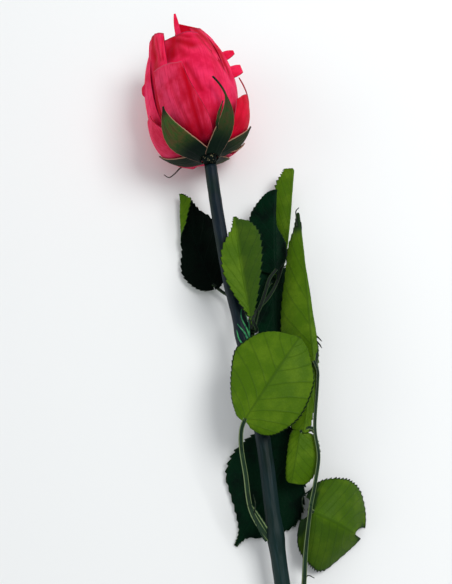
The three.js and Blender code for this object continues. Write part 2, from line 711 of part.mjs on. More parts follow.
// A compound leaf is one body: stalks, stipules and leaflets, clear of the stem it hugs
function compoundLeaf(leaflets, stalks, stipule) {
  const shapes = leaflets.map((leaf) => {
    return solid(blade(2 * leaf.teeth, leaf.across, leafletSurface(leaf), LEAF_THICKNESS));
  });
  for (const { radii, route } of stalks) {
    const radiusAt = (share) => THREE.MathUtils.lerp(radii[0], radii[1], 1 - share);
    shapes.push(solid(rod([...route].reverse(), radiusAt, 5, 2 * route.length)));
  }
  shapes.push(solid(blade(5, 2, stipuleSurface(stipule), LEAF_THICKNESS)));
  return fused(shapes).subtract(stem(GAP));
}

function stem(extra) {
  const radiusAt = (share) => {
    const along = 1 - share;
    let radius = THREE.MathUtils.lerp(STEM_CUT_RADIUS, STEM_TOP_RADIUS, along);
    for (const { along: place, swell } of STEM_NODES) {
      radius += swell * Math.exp(-(((along - place) / NODE_SPREAD) ** 2));
    }
    return radius + extra;
  };
  return solid(rod([...STEM_ROUTE].reverse(), radiusAt, 10, 36));
}

// The slanting cut at the foot of the stem
function offcut() {
  const [x, y, z] = STEM_ROUTE[0];
  const size = 30;
  const box = new THREE.BoxGeometry(size, size, size);
  box.translate(0, -size / 2, 0);
  box.rotateZ(radians(CUT_SLANT));
  return solid(box.translate(x, y + 2, z));
}

const GREEN_STEM = new THREE.MeshStandardMaterial({ color: 0x1c2f33, roughness: 0.45, metalness: 0 });
const SEPAL_GREEN = new THREE.MeshStandardMaterial({ color: 0x2c4a2a, roughness: 0.6, metalness: 0 });
const PETAL_ROSE = new THREE.MeshStandardMaterial({ color: 0xe0355c, roughness: 0.55, metalness: 0 });
const LEAF_GREEN = new THREE.MeshStandardMaterial({ color: 0x4c6b16, roughness: 0.5, metalness: 0 });

const pieces = [
  ["stem", stem(0).subtract(offcut()), GREEN_STEM],
  ["calyx", calyx(0), SEPAL_GREEN],
  ["bloom", bloom().subtract(calyx(GAP)), PETAL_ROSE],
  ["upper_leaf", compoundLeaf(UPPER_LEAFLETS, UPPER_STALKS, STIPULES.upper), LEAF_GREEN],
  ["right_leaf", compoundLeaf(RIGHT_LEAFLETS, RIGHT_STALKS, STIPULES.right), LEAF_GREEN],
  ["left_leaf", compoundLeaf(LEFT_LEAFLETS, LEFT_STALKS, STIPULES.left), LEAF_GREEN],
];

const rose = new THREE.Group();
const below = ground();
rose.name = "preserved_rose";
for (const [name, shape, material] of pieces) {
  const mesh = new THREE.Mesh(geometryOf(fused([shape.subtract(below)])), material);
  mesh.name = name;
  rose.add(mesh);
}

export default rose;
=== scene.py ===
# A preserved rose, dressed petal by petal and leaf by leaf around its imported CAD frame. Sizes are
# worked out in millimetres, in the frame of the CAD, and become metres in the meshes.
import math
from bisect import bisect_right

import bmesh
import bpy
from mathutils import Matrix, Vector, geometry, noise


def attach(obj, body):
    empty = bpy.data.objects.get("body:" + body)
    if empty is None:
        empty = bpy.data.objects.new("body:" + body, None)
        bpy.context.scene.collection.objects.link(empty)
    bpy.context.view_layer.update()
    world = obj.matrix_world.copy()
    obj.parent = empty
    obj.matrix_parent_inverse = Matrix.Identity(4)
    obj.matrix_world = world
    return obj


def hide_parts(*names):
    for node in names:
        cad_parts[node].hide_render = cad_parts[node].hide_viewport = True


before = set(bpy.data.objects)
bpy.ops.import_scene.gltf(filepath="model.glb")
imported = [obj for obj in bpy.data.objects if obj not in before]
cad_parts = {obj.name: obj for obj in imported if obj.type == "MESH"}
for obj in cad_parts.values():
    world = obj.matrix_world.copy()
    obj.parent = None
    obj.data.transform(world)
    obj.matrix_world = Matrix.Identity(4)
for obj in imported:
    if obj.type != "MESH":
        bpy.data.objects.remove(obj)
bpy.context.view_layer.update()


# The stem: one long woody shoot, cut on the slant at its foot. It swells where a leaf joined it.
# It was dyed when it was preserved, so it is navy and bottle green with a satin skin that dried
# into fine lengthwise ridges. The cut shows the pale ring of wood and its pith.

MM = 0.001
STEM_ROUTE = (
    (-1.2, -318, 3.1), (-0.4, -270, 7.2), (0.6, -222, 10.9), (1.6, -196, 12.9), (3.2, -164, 15.4),
    (2.7, -140, 17.2), (2.2, -110, 19.5), (0.9, -93, 20.9), (0.7, -68, 22.8), (0.9, -52, 24.2),
    (1.45, -35.1, 25.95),
)
STEM_CUT_RADIUS = 3.45
STEM_TOP_RADIUS = 2.9
CUT_SLANT = 24
STEM_NODES = ((0.262, 0.5), (0.405, 0.6), (0.712, 0.5))
NODE_SPREAD = 0.018
STEM_RIDGES = ((0.05, 9, 4), (0.035, 17, -7))
STEM_KNOBS = 0.09
STEM_SIDES = 40
STEM_STEPS = 260
RIND_WIDTH = 0.35
RIND_STEP = 0.25
WELD = 1e-4


class Shade:
    """A value in the nodes of a material, on which the operators add Math nodes."""

    def __init__(self, tree, socket=None):
        self.tree = tree
        self.socket = socket

    def node(self, kind, settings=None, inputs=None, output=0):
        """Adds a node, sets its settings and its inputs, and returns one of its outputs."""
        made = self.tree.nodes.new(kind)
        for name, value in (settings or {}).items():
            setattr(made, name, value)
        for name, value in (inputs or {}).items():
            if isinstance(value, Shade):
                self.tree.links.new(value.socket, made.inputs[name])
            else:
                made.inputs[name].default_value = value
        return Shade(self.tree, made.outputs[output])

    def maths(self, operation, *values):
        return self.node("ShaderNodeMath", {"operation": operation}, dict(enumerate(values)))

    def __add__(self, other):
        return self.maths("ADD", self, other)

    def __sub__(self, other):
        return self.maths("SUBTRACT", self, other)

    def __rsub__(self, other):
        return self.maths("SUBTRACT", other, self)

    def __mul__(self, other):
        return self.maths("MULTIPLY", self, other)

    def __abs__(self):
        return self.maths("ABSOLUTE", self)

    __radd__ = __add__
    __rmul__ = __mul__


def tint(red, green, blue):
    """A colour as it shows on a screen, from 0 to 255, in the linear values that shaders take."""
    linear = []
    for level in (red, green, blue):
        share = level / 255
        linear.append(share / 12.92 if share < 0.04045 else ((share + 0.055) / 1.055) ** 2.4)
    return (*linear, 1.0)


def start_finish(name, gloss, fixed=None):
    """A new material with its gloss and other fixed values. Returns it with its nodes."""
    made = bpy.data.materials.new(name)
    made.use_nodes = True
    shader = made.node_tree.nodes["Principled BSDF"]
    for socket, value in {"Specular IOR Level": gloss, **(fixed or {})}.items():
        shader.inputs[socket].default_value = value
    return made, Shade(made.node_tree)


def end_finish(made, varying):
    """Links the values that change over the surface to the material's shader."""
    shader = made.node_tree.nodes["Principled BSDF"]
    for socket, value in varying.items():
        made.node_tree.links.new(value.socket, shader.inputs[socket])


def mixed(factor, first, second):
    """Goes from the first colour to the second as the factor goes from 0 to 1."""
    return factor.node("ShaderNodeMix", {"data_type": "RGBA"}, {0: factor, 6: first, 7: second}, 2)


def between(value, low, high):
    """0 below low, 1 above high, and smooth between them."""
    limits = {"Value": value, "From Min": low, "From Max": high}
    return value.node("ShaderNodeMapRange", {"interpolation_type": "SMOOTHSTEP"}, limits)


def scaled(place, stretch):
    return place.node("ShaderNodeMapping", None, {"Vector": place, "Scale": stretch})


def part_of(place, axis):
    return place.node("ShaderNodeSeparateXYZ", None, {"Vector": place}, axis)


def object_place(nodes, stretch=(1, 1, 1)):
    """The place on the object, in metres, with each direction scaled by stretch."""
    return scaled(nodes.node("ShaderNodeTexCoord", output="Object"), stretch)


def cloud(nodes, scale, detail=3.0, roughness=0.55, place=None):
    """Soft noise from 0 to 1 round 0.5, laid out on the object unless a place is given."""
    place = place or object_place(nodes)
    inputs = {"Vector": place, "Scale": scale, "Detail": detail, "Roughness": roughness}
    return nodes.node("ShaderNodeTexNoise", None, inputs)


def relief(height, distance, strength):
    """A bump of the height, whose full step is distance metres."""
    inputs = {"Height": height, "Distance": distance, "Strength": strength}
    return height.node("ShaderNodeBump", None, inputs)


def along_route(route, steps):
    """Evenly spaced places on the smooth line through the points, each with its direction."""
    points = [Vector(place) for place in route]
    points = [2 * points[0] - points[1], *points, 2 * points[-1] - points[-2]]
    line = [points[1]]
    for before, start, end, after in zip(points, points[1:], points[2:], points[3:]):
        first, middle, last = (
            math.sqrt((b - a).length) for a, b in ((before, start), (start, end), (end, after))
        )
        chord = (end - start) / middle
        leave = (start - before) / first - (end - before) / (first + middle) + chord
        arrive = chord - (after - start) / (middle + last) + (after - end) / last
        handles = (start + leave * middle / 3, end - arrive * middle / 3)
        line.extend(geometry.interpolate_bezier(start, *handles, end, 40)[1:])
    lengths = [0.0]
    for start, end in zip(line, line[1:]):
        lengths.append(lengths[-1] + (end - start).length)
    places = []
    for step in range(steps + 1):
        wanted = lengths[-1] * step / steps
        index = min(bisect_right(lengths, wanted), len(line) - 1)
        share = (wanted - lengths[index - 1]) / (lengths[index] - lengths[index - 1])
        places.append(line[index - 1].lerp(line[index], share))
    ends = zip(places[:1] + places[:-1], places[1:] + places[-1:])
    return [(place, (after - before).normalized()) for place, (before, after) in zip(places, ends)]


def grid_of(grown, across, steps):
    """Adds a flat grid, one unit wide and long round 0, and returns its corners."""
    return bmesh.ops.create_grid(
        grown, x_segments=across, y_segments=steps, size=0.5, calc_uvs=True,
    )["verts"]


def start_mesh():
    """An empty mesh with a map of its own, and with a layer of dryness and painted shade that a
    finish can read.
    """
    grown = bmesh.new()
    grown.loops.layers.uv.new("along")
    grown.verts.layers.float.new("dryness_and_shade")
    return grown


def rod(grown, route, radius_at, sides, steps):
    """Adds a closed rod: a grid that is rolled up round the route, with both ends filled."""
    path = along_route(route, steps)
    wall = grid_of(grown, sides, steps)
    for corner in wall:
        step = round((corner.co.y + 0.5) * steps)
        turn = 2 * math.pi * (corner.co.x + 0.5)
        centre, along = path[step]
        side = Vector((0, 0, 1)).cross(along).normalized()
        radius = radius_at(step / steps, turn)
        corner.co = centre + radius * (math.cos(turn) * side + math.sin(turn) * side.cross(along))
    bmesh.ops.remove_doubles(grown, verts=wall, dist=WELD)
    left = [corner for corner in wall if corner.is_valid]
    rims = list({edge for corner in left for edge in corner.link_edges if edge.is_boundary})
    caps = bmesh.ops.holes_fill(grown, edges=rims, sides=0)["faces"]
    faces = list({face for corner in left for face in corner.link_faces})
    bmesh.ops.recalc_face_normals(grown, faces=faces)
    for face in faces:
        face.smooth = face not in caps


def placed(name, data):
    made = bpy.data.objects.new(name, data)
    bpy.context.scene.collection.objects.link(made)
    return made


def piece_of(name, grown, finishes, thickness=None):
    """Makes the mesh an object in metres, pressed flat where it meets the table."""
    for corner in grown.verts:
        corner.co = MM * corner.co
        corner.co.z = max(corner.co.z, 0.0)
    mesh = bpy.data.meshes.new(name)
    grown.to_mesh(mesh)
    grown.free()
    for finish in finishes:
        mesh.materials.append(finish)
    made = placed(name, mesh)
    if thickness:
        shell = made.modifiers.new("thickness", "SOLIDIFY")
        shell.thickness = thickness * MM
        shell.offset = 0
        shell.use_even_offset = False
        if len(finishes) > 1:
            shell.material_offset = 1
            shell.material_offset_rim = 1
    return made


def stem_radius(share, turn):
    radius = STEM_CUT_RADIUS + (STEM_TOP_RADIUS - STEM_CUT_RADIUS) * share
    for place, swell in STEM_NODES:
        radius += swell * math.exp(-(((share - place) / NODE_SPREAD) ** 2))
    for height, count, twist in STEM_RIDGES:
        radius += height * math.sin(count * turn + twist * share)
    place = Vector((3 * math.cos(turn), 3 * math.sin(turn), 60 * share))
    return radius + STEM_KNOBS * noise.noise(place)


stem_skin, nodes = start_finish("stem_skin", 0.12)
streaks = cloud(nodes, 1500, 4, place=object_place(nodes, (1, 0.03, 1)))
blotches = cloud(nodes, 160, place=object_place(nodes, (1, 0.35, 1)))
low_green = between(part_of(object_place(nodes), "Y"), -0.1, -0.26)
skin = mixed(low_green, tint(8, 22, 32), tint(14, 40, 36))
skin = mixed(between(blotches, 0.42, 0.68), skin, tint(4, 26, 22))
skin = mixed(between(streaks, 0.5, 0.72) * 0.35, skin, tint(40, 58, 66))
end_finish(stem_skin, {
    "Base Color": skin,
    "Roughness": 0.34 + streaks * 0.22,
    "Normal": relief(streaks, 0.0003, 0.6),
})

stem_wood, nodes = start_finish("stem_wood", 0.5, {"Roughness": 0.8})
fibres = cloud(nodes, 2600)
pith = mixed(between(fibres, 0.35, 0.65), tint(176, 164, 116), tint(122, 118, 76))
end_finish(stem_wood, {"Base Color": pith, "Normal": relief(fibres, 0.0004, 0.7)})

shoot = start_mesh()
rod(shoot, STEM_ROUTE, stem_radius, STEM_SIDES, STEM_STEPS)
slant = Matrix.Rotation(math.radians(CUT_SLANT), 3, "Z") @ Vector((0, -1, 0))
cut = bmesh.ops.bisect_plane(
    shoot, geom=[*shoot.verts, *shoot.edges, *shoot.faces], clear_outer=True,
    plane_co=Vector(STEM_ROUTE[0]) + Vector((0, 2, 0)), plane_no=slant,
)
rim = [edge for edge in cut["geom_cut"] if isinstance(edge, bmesh.types.BMEdge)]
wood = bmesh.ops.edgeloop_fill(shoot, edges=rim, mat_nr=1)["faces"]
rind = bmesh.ops.inset_region(shoot, faces=wood, thickness=RIND_WIDTH, depth=RIND_STEP)["faces"]
for face in rind:
    face.material_index = 0
bmesh.ops.recalc_face_normals(shoot, faces=shoot.faces)
stem = piece_of("stem_shoot", shoot, [stem_skin, stem_wood])
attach(stem, "root")
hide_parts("stem")


# The hip: the small green cup on top of the stem that carries the sepals and the petals. It is
# dry and leathery, the same dark green as the sepals, with a few cream scales where they part.

BLOOM_BASE = (1.3, -28.5, 27)
BLOOM_PITCH = -3
BLOOM_YAW = 1.1
HIP_PROFILE = (
    (0, -6), (2.9, -6), (3, -5), (3.3, -3.8), (4, -2.4), (4.6, -1.2), (4.2, 0.2), (0, 1.4),
)
HIP_SIDES = 40


def laid(place):
    """Lays a place on the upright bud, whose axis is Y, down where the bloom lies."""
    turn = Matrix.Rotation(math.radians(BLOOM_YAW), 3, "Z")
    lean = Matrix.Rotation(math.radians(BLOOM_PITCH), 3, "X")
    return Vector(BLOOM_BASE) + turn @ lean @ place


def spun(grown, profile, sides):
    """Adds a closed round body: a profile of radius and height, spun round the bud's axis."""
    corners = [grown.verts.new((radius, height, 0)) for radius, height in profile]
    edges = [grown.edges.new(pair) for pair in zip(corners, corners[1:])]
    bmesh.ops.spin(
        grown, geom=[*corners, *edges], cent=(0, 0, 0), axis=(0, 1, 0),
        angle=2 * math.pi, steps=sides, use_merge=True,
    )
    bmesh.ops.remove_doubles(grown, verts=grown.verts, dist=WELD)
    bmesh.ops.recalc_face_normals(grown, faces=grown.faces)
    for face in grown.faces:
        face.smooth = True
    for corner in grown.verts:
        corner.co = laid(corner.co)


hip_skin, nodes = start_finish("hip_skin", 0.06)
specks = cloud(nodes, 900, 4, 0.65)
husk = mixed(between(specks, 0.4, 0.6), tint(2, 10, 10), tint(6, 20, 16))
husk = mixed(between(specks, 0.6, 0.64) * 0.8, husk, tint(150, 140, 104))
end_finish(hip_skin, {
    "Base Color": husk,
    "Roughness": 0.6 + specks * 0.2,
    "Normal": relief(specks, 0.0006, 0.7),
})

cup = start_mesh()
spun(cup, HIP_PROFILE, HIP_SIDES)
hip = piece_of("hip", cup, [hip_skin])
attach(hip, "root")
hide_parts("calyx")


# The sepals: five narrow leathery blades that spring from the rim of the hip and hug the bud.
# Three carry a thin side lobe. They have a raised mid vein, a pinkish dry margin and a thread tip.

SEPAL_THICKNESS = 0.6
SEPAL_GRID = (90, 24)
LOBE_GRID = (40, 6)
SEPAL_FOOT = 3
SEPAL = dict(hook=2, tail=1, lobe=0)
# A sepal's shade darkens it as a whole: painted shade, stronger on some sepals than on others.
SEPALS = (
    dict(SEPAL, centre=33, sweep=-16, hook=6, reach=88, belly=25, full=26.4, width=4.6, tail=0.84,
         lobe=-1, shade=0.5),
    dict(SEPAL, centre=-56, sweep=14, reach=70, belly=26.8, full=28, width=7.4, shade=0),
    dict(SEPAL, centre=86, sweep=-2, reach=54, belly=25.6, full=26, width=5.2, lobe=1, shade=0.7),
    dict(SEPAL, centre=-124, sweep=12, reach=54, belly=28, full=24, width=5.4, shade=0.9),
    dict(SEPAL, centre=155, sweep=0, reach=58, belly=26, full=25, width=5, lobe=1, shade=0.4),
)


def round_axis(radius, height, angle):
    """A place on the upright bud. Angle 0 is its upper side and 90 its right side."""
    turn = math.radians(angle)
    return Vector((radius * math.sin(turn), height, radius * math.cos(turn)))


def sepal_surface(sepal):
    def surface(u, v):
        bend = math.radians(sepal["reach"]) * u
        rise = math.copysign(abs(math.cos(bend)) ** 0.8, math.cos(bend))
        swell = (sepal["belly"] - SEPAL_FOOT) * math.sin(bend) ** 0.8
        radius = SEPAL_FOOT + swell + 1.3 * (1 - u) ** 20
        taper = math.sin(math.pi * (0.2 + 0.8 * min(1, u / sepal["tail"])))
        width = max(0.35, sepal["width"] * max(taper, 0) ** 1.1) + 2 * (1 - u) ** 6
        ragged = 1 + 0.05 * abs(v) * noise.noise(Vector((18 * u, 3 * v, sepal["centre"])))
        angle = sepal["centre"] + sepal["sweep"] * u ** sepal["hook"]
        swing = math.degrees(width * ragged * v / max(radius, 5))
        keel = 0.25 * math.exp(-((v * width / 0.5) ** 2)) + 0.05 * math.cos(5 * math.pi * v)
        height = sepal["full"] * (1 - rise) - 3 * (1 - u) ** 8
        return round_axis(radius + keel, height, angle + swing)
    return surface


def lobe_surface(sepal):
    whole = sepal_surface(sepal)

    def surface(u, v):
        share = 0.3 + 0.42 * u
        start = whole(share, sepal["lobe"] * (0.7 + 1.1 * u))
        beside = whole(share + 0.02, sepal["lobe"] * (0.7 + 1.1 * u))
        out = Vector((start.x, 0, start.z)).normalized()
        aside = (beside - start).normalized().cross(out)
        width = max(0.25, 0.95 * math.sin(math.pi * (0.25 + 0.75 * u)))
        return start + width * v * aside + 0.5 * u * out
    return surface


def sheet(grown, steps, across, surface, finish=0, dryness_and_shade=None):
    """Adds a grid and moves each corner to surface(u, v), for u from 0 to 1 and v from -1 to 1."""
    made = grid_of(grown, across, steps)
    for corner in made:
        u, v = corner.co.y + 0.5, 2 * corner.co.x
        corner.co = surface(u, v)
        # Keep how much dryness and painted shade darken this corner.
        if dryness_and_shade:
            corner[grown.verts.layers.float["dryness_and_shade"]] = dryness_and_shade(u, v)
    for face in {face for corner in made for face in corner.link_faces}:
        face.material_index = finish
        face.smooth = True


def own_map(nodes):
    return nodes.node("ShaderNodeUVMap", {"uv_map": "along"})


# Reads how much dryness and painted shade darken each place.
def dryness_and_shade_of(nodes):
    return nodes.node("ShaderNodeAttribute", {"attribute_name": "dryness_and_shade"}, output=2)


sepal_skin, nodes = start_finish("sepal_skin", 0.1)
where = own_map(nodes)
upward = part_of(where, "Y")
margin = abs((part_of(where, "X") - 0.5) * 2)
mottle = cloud(nodes, 420, 4, 0.6)
veins = cloud(nodes, 1, place=scaled(where, (34, 2.2, 1)))
leather = mixed(between(upward, 0.14, 0.55), tint(2, 18, 12), tint(52, 82, 30))
leather = mixed(between(mottle, 0.35, 0.7) * between(upward, 0.2, 0.5), leather, tint(84, 68, 36))
leather = mixed(between(veins, 0.5, 0.7) * 0.5, leather, tint(8, 36, 16))
leather = mixed(between(upward, 0.8, 0.95), leather, tint(14, 28, 14))
# Painted shade, darkening each sepal as a whole by its own amount.
leather = mixed(dryness_and_shade_of(nodes), leather, tint(8, 28, 16))
leather = mixed(between(margin + mottle * 0.06, 0.985, 1.02) * 0.8, leather, tint(176, 132, 110))
end_finish(sepal_skin, {
    "Base Color": leather,
    "Roughness": 0.5 + mottle * 0.2,
    "Normal": relief(veins + mottle * 0.5, 0.0003, 0.5),
})

blades = start_mesh()
for sepal in SEPALS:
    surfaces = [(SEPAL_GRID, sepal_surface(sepal))]
    if sepal["lobe"]:
        surfaces.append((LOBE_GRID, lobe_surface(sepal)))
    for grid, surface in surfaces:
        sheet(blades, *grid, lambda u, v: laid(surface(u, v)), 0, lambda u, v: sepal["shade"])
sepals = piece_of("sepals", blades, [sepal_skin], SEPAL_THICKNESS)
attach(sepals, "root")
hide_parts("calyx")


# The outer petals: eleven broad petals that wrap the bud, each lapping over the next. They are waxy
# crimson pink outside and deep red inside, with fine veins that fan out from the foot and lips
# that dried thin and dark. The lowest ones are short, and the one beneath is pressed flat.

BUD_HEIGHT = 68
PETAL_THICKNESS = 0.45
PETAL_GRID = (100, 78)
PETAL_FOOT = 3
PETAL = dict(
    squareness=2.5, root=1.6, peak=0, drops=(5, 5), slope=(0, 1.3), sharp=1.4, lap=1, lip=0.5,
    narrow=0, creases=(), finish=0,
)
# Each crease gives its first and last place as turn and height, its reach, how deep it presses in,
# and how strong its painted shade of deep red is.
OUTER_PETALS = (
    dict(
        PETAL, centre=-24, span=39, height=36.5, belly=22.6, mouth=17, full=30, peak=0.33,
        drops=(-4, 33), slope=(0, 1), sharp=0.6, lap=0, narrow=0.26, finish=2,
        creases=(
            ((-13, 33), (-10, 4), 1.9, 0.9, 1), ((-21, 28), (-16, 6), 1.3, 0.4, 0.6),
            ((-3, 16), (0, 4), 1.2, 0.4, 0.7), ((-32, 30), (-26, 8), 1.1, 0.3, 0.4),
            ((-40, 34), (-36, 22), 2, -0.4, 0), ((-30, 6), (-6, 2), 5, 0, 0.8),
        ),
    ),
    dict(
        PETAL, centre=16, span=64, height=61.5, belly=19.6, mouth=8, full=27, peak=-0.3,
        drops=(1, 27), slope=(0.4, 1), sharp=0.45, lap=-1.3, lip=0.2,
        creases=(
            ((-27, 61), (-27, 46), 3.6, 1, 1), ((-20, 57), (6, 50), 3.6, 0.8, 1),
            ((-16, 61), (4, 57), 2, 0.6, 0.9), ((-20, 54), (-10, 44), 2.6, 0.5, 0.8),
            ((-36, 52), (-44, 38), 2, 0.6, 0.9), ((40, 44), (30, 18), 2.4, 0.3, 0.3),
            ((14, 46), (10, 30), 3, -0.5, 0), ((20, 8), (44, 4), 6, 0, 0.8),
            ((-9, 38), (4, 22), 1.5, 0.4, 0.8), ((26, 58), (54, 38), 2.2, 0.5, 1),
        ),
    ),
    dict(
        PETAL, centre=97, span=43, height=71.5, belly=20.6, mouth=10.6, full=34, squareness=1.7,
        peak=-0.3, drops=(4, 14), lap=2.4, lip=0.2,
        creases=(
            ((62, 66), (60, 54), 1.2, 0.6, 0.9), ((55, 60), (62, 38), 2.4, 0.2, 1),
            ((76, 60), (84, 40), 1.6, 0.3, 0.4),
        ),
    ),
    dict(
        PETAL, centre=146, span=44, height=61, belly=18.8, mouth=12, full=32,
    ),
    dict(
        PETAL, centre=205, span=48, height=62, belly=20.4, mouth=12.6, full=28, lip=0.4,
    ),
    dict(
        PETAL, centre=-70, span=38, height=67, belly=21.4, mouth=15, full=28, peak=0.1,
        drops=(2, 7.5), slope=(0, 1), lap=0.3, lip=1.4,
        creases=(
            ((-62, 66), (-57, 50), 3, 0.7, 1), ((-57, 50), (-58, 34), 3.8, 0.7, 1),
            ((-58, 34), (-63, 18), 5.4, 0.4, 1), ((-47, 60), (-43, 45), 1, 0.4, 0.7),
            ((-38, 58), (-38, 46), 0.9, -0.5, 0), ((-34, 57), (-38, 44), 0.7, 0.2, 0.5),
        ),
    ),
    dict(
        PETAL, centre=-109, span=40, height=65.5, belly=25.8, mouth=15.6, full=32, peak=0.8,
        drops=(6, 1), lap=-3.8, lip=0.4,
        creases=(((-92, 43), (-93, 40), 1.3, -1.5, 0.5),),
    ),
    dict(
        PETAL, centre=-108, span=52, height=21.5, belly=26, mouth=24, full=20, squareness=2.8,
        peak=0.65, drops=(1.5, 14), slope=(0, 1), sharp=0.8, lap=-1.8, lip=0, finish=2,
    ),
    # This low petal on the right wears the inside finish outward: the deep red of an inner face,
    # and partly painted shade.
    dict(
        PETAL, centre=87, span=42, height=27, belly=23.8, mouth=19, full=24, peak=0.1,
        drops=(13, 7), slope=(0, 1.1), lap=-0.6, lip=0.2, finish=1,
    ),
    dict(
        PETAL, centre=178, span=52, height=44, belly=25.6, mouth=16, full=23, squareness=2.8,
        drops=(12, 12), lap=0.8, finish=2,
    ),
    dict(
        PETAL, centre=52, span=36, height=66, belly=18.4, mouth=8.4, full=28, drops=(1, 4), lap=0.8,
        creases=(((30, 64), (56, 50), 3, 0, 1),),
    ),
)


def smooth_step(value, low, high):
    share = min(1, max(0, (value - low) / (high - low)))
    return share * share * (3 - 2 * share)


def petal_radius(petal, height):
    """How far a petal stands from the axis of the bud at a height above its foot."""
    if height < petal["full"]:
        below = 1 - max(height, 0) / petal["full"]
        square = petal["squareness"]
        return PETAL_FOOT + (petal["belly"] - PETAL_FOOT) * (1 - below ** square) ** (1 / square)
    past = (height - petal["full"]) / (BUD_HEIGHT - petal["full"])
    return petal["mouth"] + (petal["belly"] - petal["mouth"]) * (1 - past ** 2.2)


def crease_at(petal, radius, height, turn):
    """How deep the creases press the petal in there, in millimetres, and how much painted shade, a
    deep red, they lay on it.
    """
    hollow = dryness_and_shade = 0.0
    for (first_turn, first_height), (last_turn, last_height), reach, depth, red in petal["creases"]:
        first = Vector((math.radians(turn - first_turn) * radius, height - first_height))
        run = Vector((math.radians(last_turn - first_turn) * radius, last_height - first_height))
        share = min(1, max(0, first.dot(run) / run.length_squared))
        near = math.exp(-(((first - share * run).length / reach) ** 2))
        hollow += depth * near
        dryness_and_shade = max(dryness_and_shade, red * near)
    return hollow, dryness_and_shade


def petal_place(petal, u, v):
    """The radius, height and turn of a place on a petal, and how much painted shade its creases lay
    there.
    """
    low_drop, high_drop = petal["drops"]
    peak, centre = petal["peak"], petal["centre"]
    side = (peak - v) / (1 + peak) if v < peak else (v - peak) / (1 - peak)
    start, end = petal["slope"]
    fall = min(1, max(0, (side - start) / (end - start))) ** petal["sharp"]
    ripple = noise.noise(Vector((4 * v, 1, centre)))
    ripple += 0.4 * noise.noise(Vector((13 * v, 7, centre)))
    top = petal["height"] - (low_drop if v < peak else high_drop) * fall + 0.5 * ripple
    height = petal["root"] + (top - petal["root"]) * u ** 1.5
    flare = petal["lip"] * max(0, (u - 0.7) / 0.3) ** 2
    pleat = noise.noise(Vector((5 * v, 0.8 * u, centre + 3)))
    radius = petal_radius(petal, height - PETAL["root"])
    radius += petal["lap"] * v * min(1, 3 * u) + flare
    turn = centre + petal["span"] * v * (1 - petal["narrow"] * u * (1 - v) / 2)
    hollow, dryness_and_shade = crease_at(petal, radius, height, turn)
    return radius + 0.45 * u * (1 - 0.3 * u) * pleat - hollow, height, turn, dryness_and_shade


def petal_sheet(grown, grid, petal):
    sheet(
        grown, *grid, lambda u, v: laid(round_axis(*petal_place(petal, u, v)[:3])),
        petal["finish"], lambda u, v: petal_place(petal, u, v)[3],
    )


def greater(first, second):
    return first.maths("MAXIMUM", first, second)


# The deep red painted into creases, into grooves between petals and at the feet by the sepals:
# painted shade.
CREASE_SHADE_RED = tint(172, 0, 26)


def petal_finish(name, light, deep, edge):
    """Waxy petal skin: veins fan out along it, its creases take a painted shade of deep red, and
    its lip is dry and dark.
    """
    made, nodes = start_finish(name, 0.04, {
        "Subsurface Weight": 0.5, "Subsurface Radius": (1, 0.12, 0.16), "Subsurface Scale": 0.003,
    })
    where = own_map(nodes)
    veins = cloud(nodes, 1.6, 4, 0.6, place=scaled(where, (30, 2.4, 1)))
    clouds = cloud(nodes, 110, 3)
    skin = mixed(between(clouds, 0.35, 0.7), light, deep)
    skin = mixed(between(veins, 0.48, 0.66) * 0.7, skin, deep)
    # Painted shade: deep red in the creases.
    skin = mixed(dryness_and_shade_of(nodes), skin, CREASE_SHADE_RED)
    nearest = greater(part_of(where, "Y"), abs(part_of(where, "X") - 0.5) * 2)
    ragged = nearest + (veins - 0.5) * 0.012
    skin = mixed(between(ragged, 0.985, 0.997) * 0.7, skin, edge)
    end_finish(made, {
        "Base Color": skin,
        "Roughness": 0.5 + veins * 0.2,
        "Normal": relief(veins, 0.0005, 0.45),
    })
    return made


petal_outside = petal_finish(
    "petal_outside", tint(240, 46, 92), tint(212, 18, 62), tint(110, 26, 50),
)
petal_inside = petal_finish("petal_inside", tint(208, 10, 48), tint(172, 2, 30), tint(84, 8, 28))
petal_dull = petal_finish("petal_dull", tint(214, 52, 90), tint(182, 20, 52), tint(170, 70, 92))
PETAL_FACES = [petal_outside, petal_inside, petal_dull, petal_inside]

for name, petals in (("outer_petals", OUTER_PETALS[:6]), ("lower_petals", OUTER_PETALS[6:])):
    wrap = start_mesh()
    for petal in petals:
        petal_sheet(wrap, PETAL_GRID, petal)
    laps = piece_of(name, wrap, PETAL_FACES, PETAL_THICKNESS)
    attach(laps, "root")
    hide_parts("bloom")


# The inner petals: three tight rings, each a pinwheel in which every petal laps the next, round a
# packed heart. They are the same petals, smaller and a deeper red where little light comes in.

INNER_RINGS = (
    dict(count=5, span=46, belly=15.2, mouth=7, height=62.5, root=16, turn=10),
    dict(count=4, span=56, belly=12.4, mouth=6, height=61.4, root=24, turn=52),
    dict(count=3, span=74, belly=8.4, mouth=3, height=59.5, root=36, turn=95),
)
INNER_GRID = (36, 36)
BUD_CORE = (
    (0, 1.2), (5, 1.2), (10, 3.6), (14, 8), (15.8, 14), (14.4, 22), (11, 32), (7, 44), (2.4, 56),
    (0, 57),
)
CORE_SIDES = 48

rings = start_mesh()
for ring in INNER_RINGS:
    for place in range(ring["count"]):
        petal = dict(PETAL, **ring)
        petal["centre"] = ring["turn"] + 360 * place / ring["count"]
        petal["height"] = ring["height"] + 1.2 * math.sin(2.3 * place + ring["turn"])
        petal["full"] = 28
        petal["lap"] = ring["belly"] / 17
        petal_sheet(rings, INNER_GRID, petal)
inner_petals = piece_of("inner_petals", rings, PETAL_FACES, PETAL_THICKNESS)

heart_mass = start_mesh()
spun(heart_mass, BUD_CORE, CORE_SIDES)
heart = piece_of("bud_heart", heart_mass, [petal_inside])
for packed in (inner_petals, heart):
    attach(packed, "root")
    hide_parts("bloom")


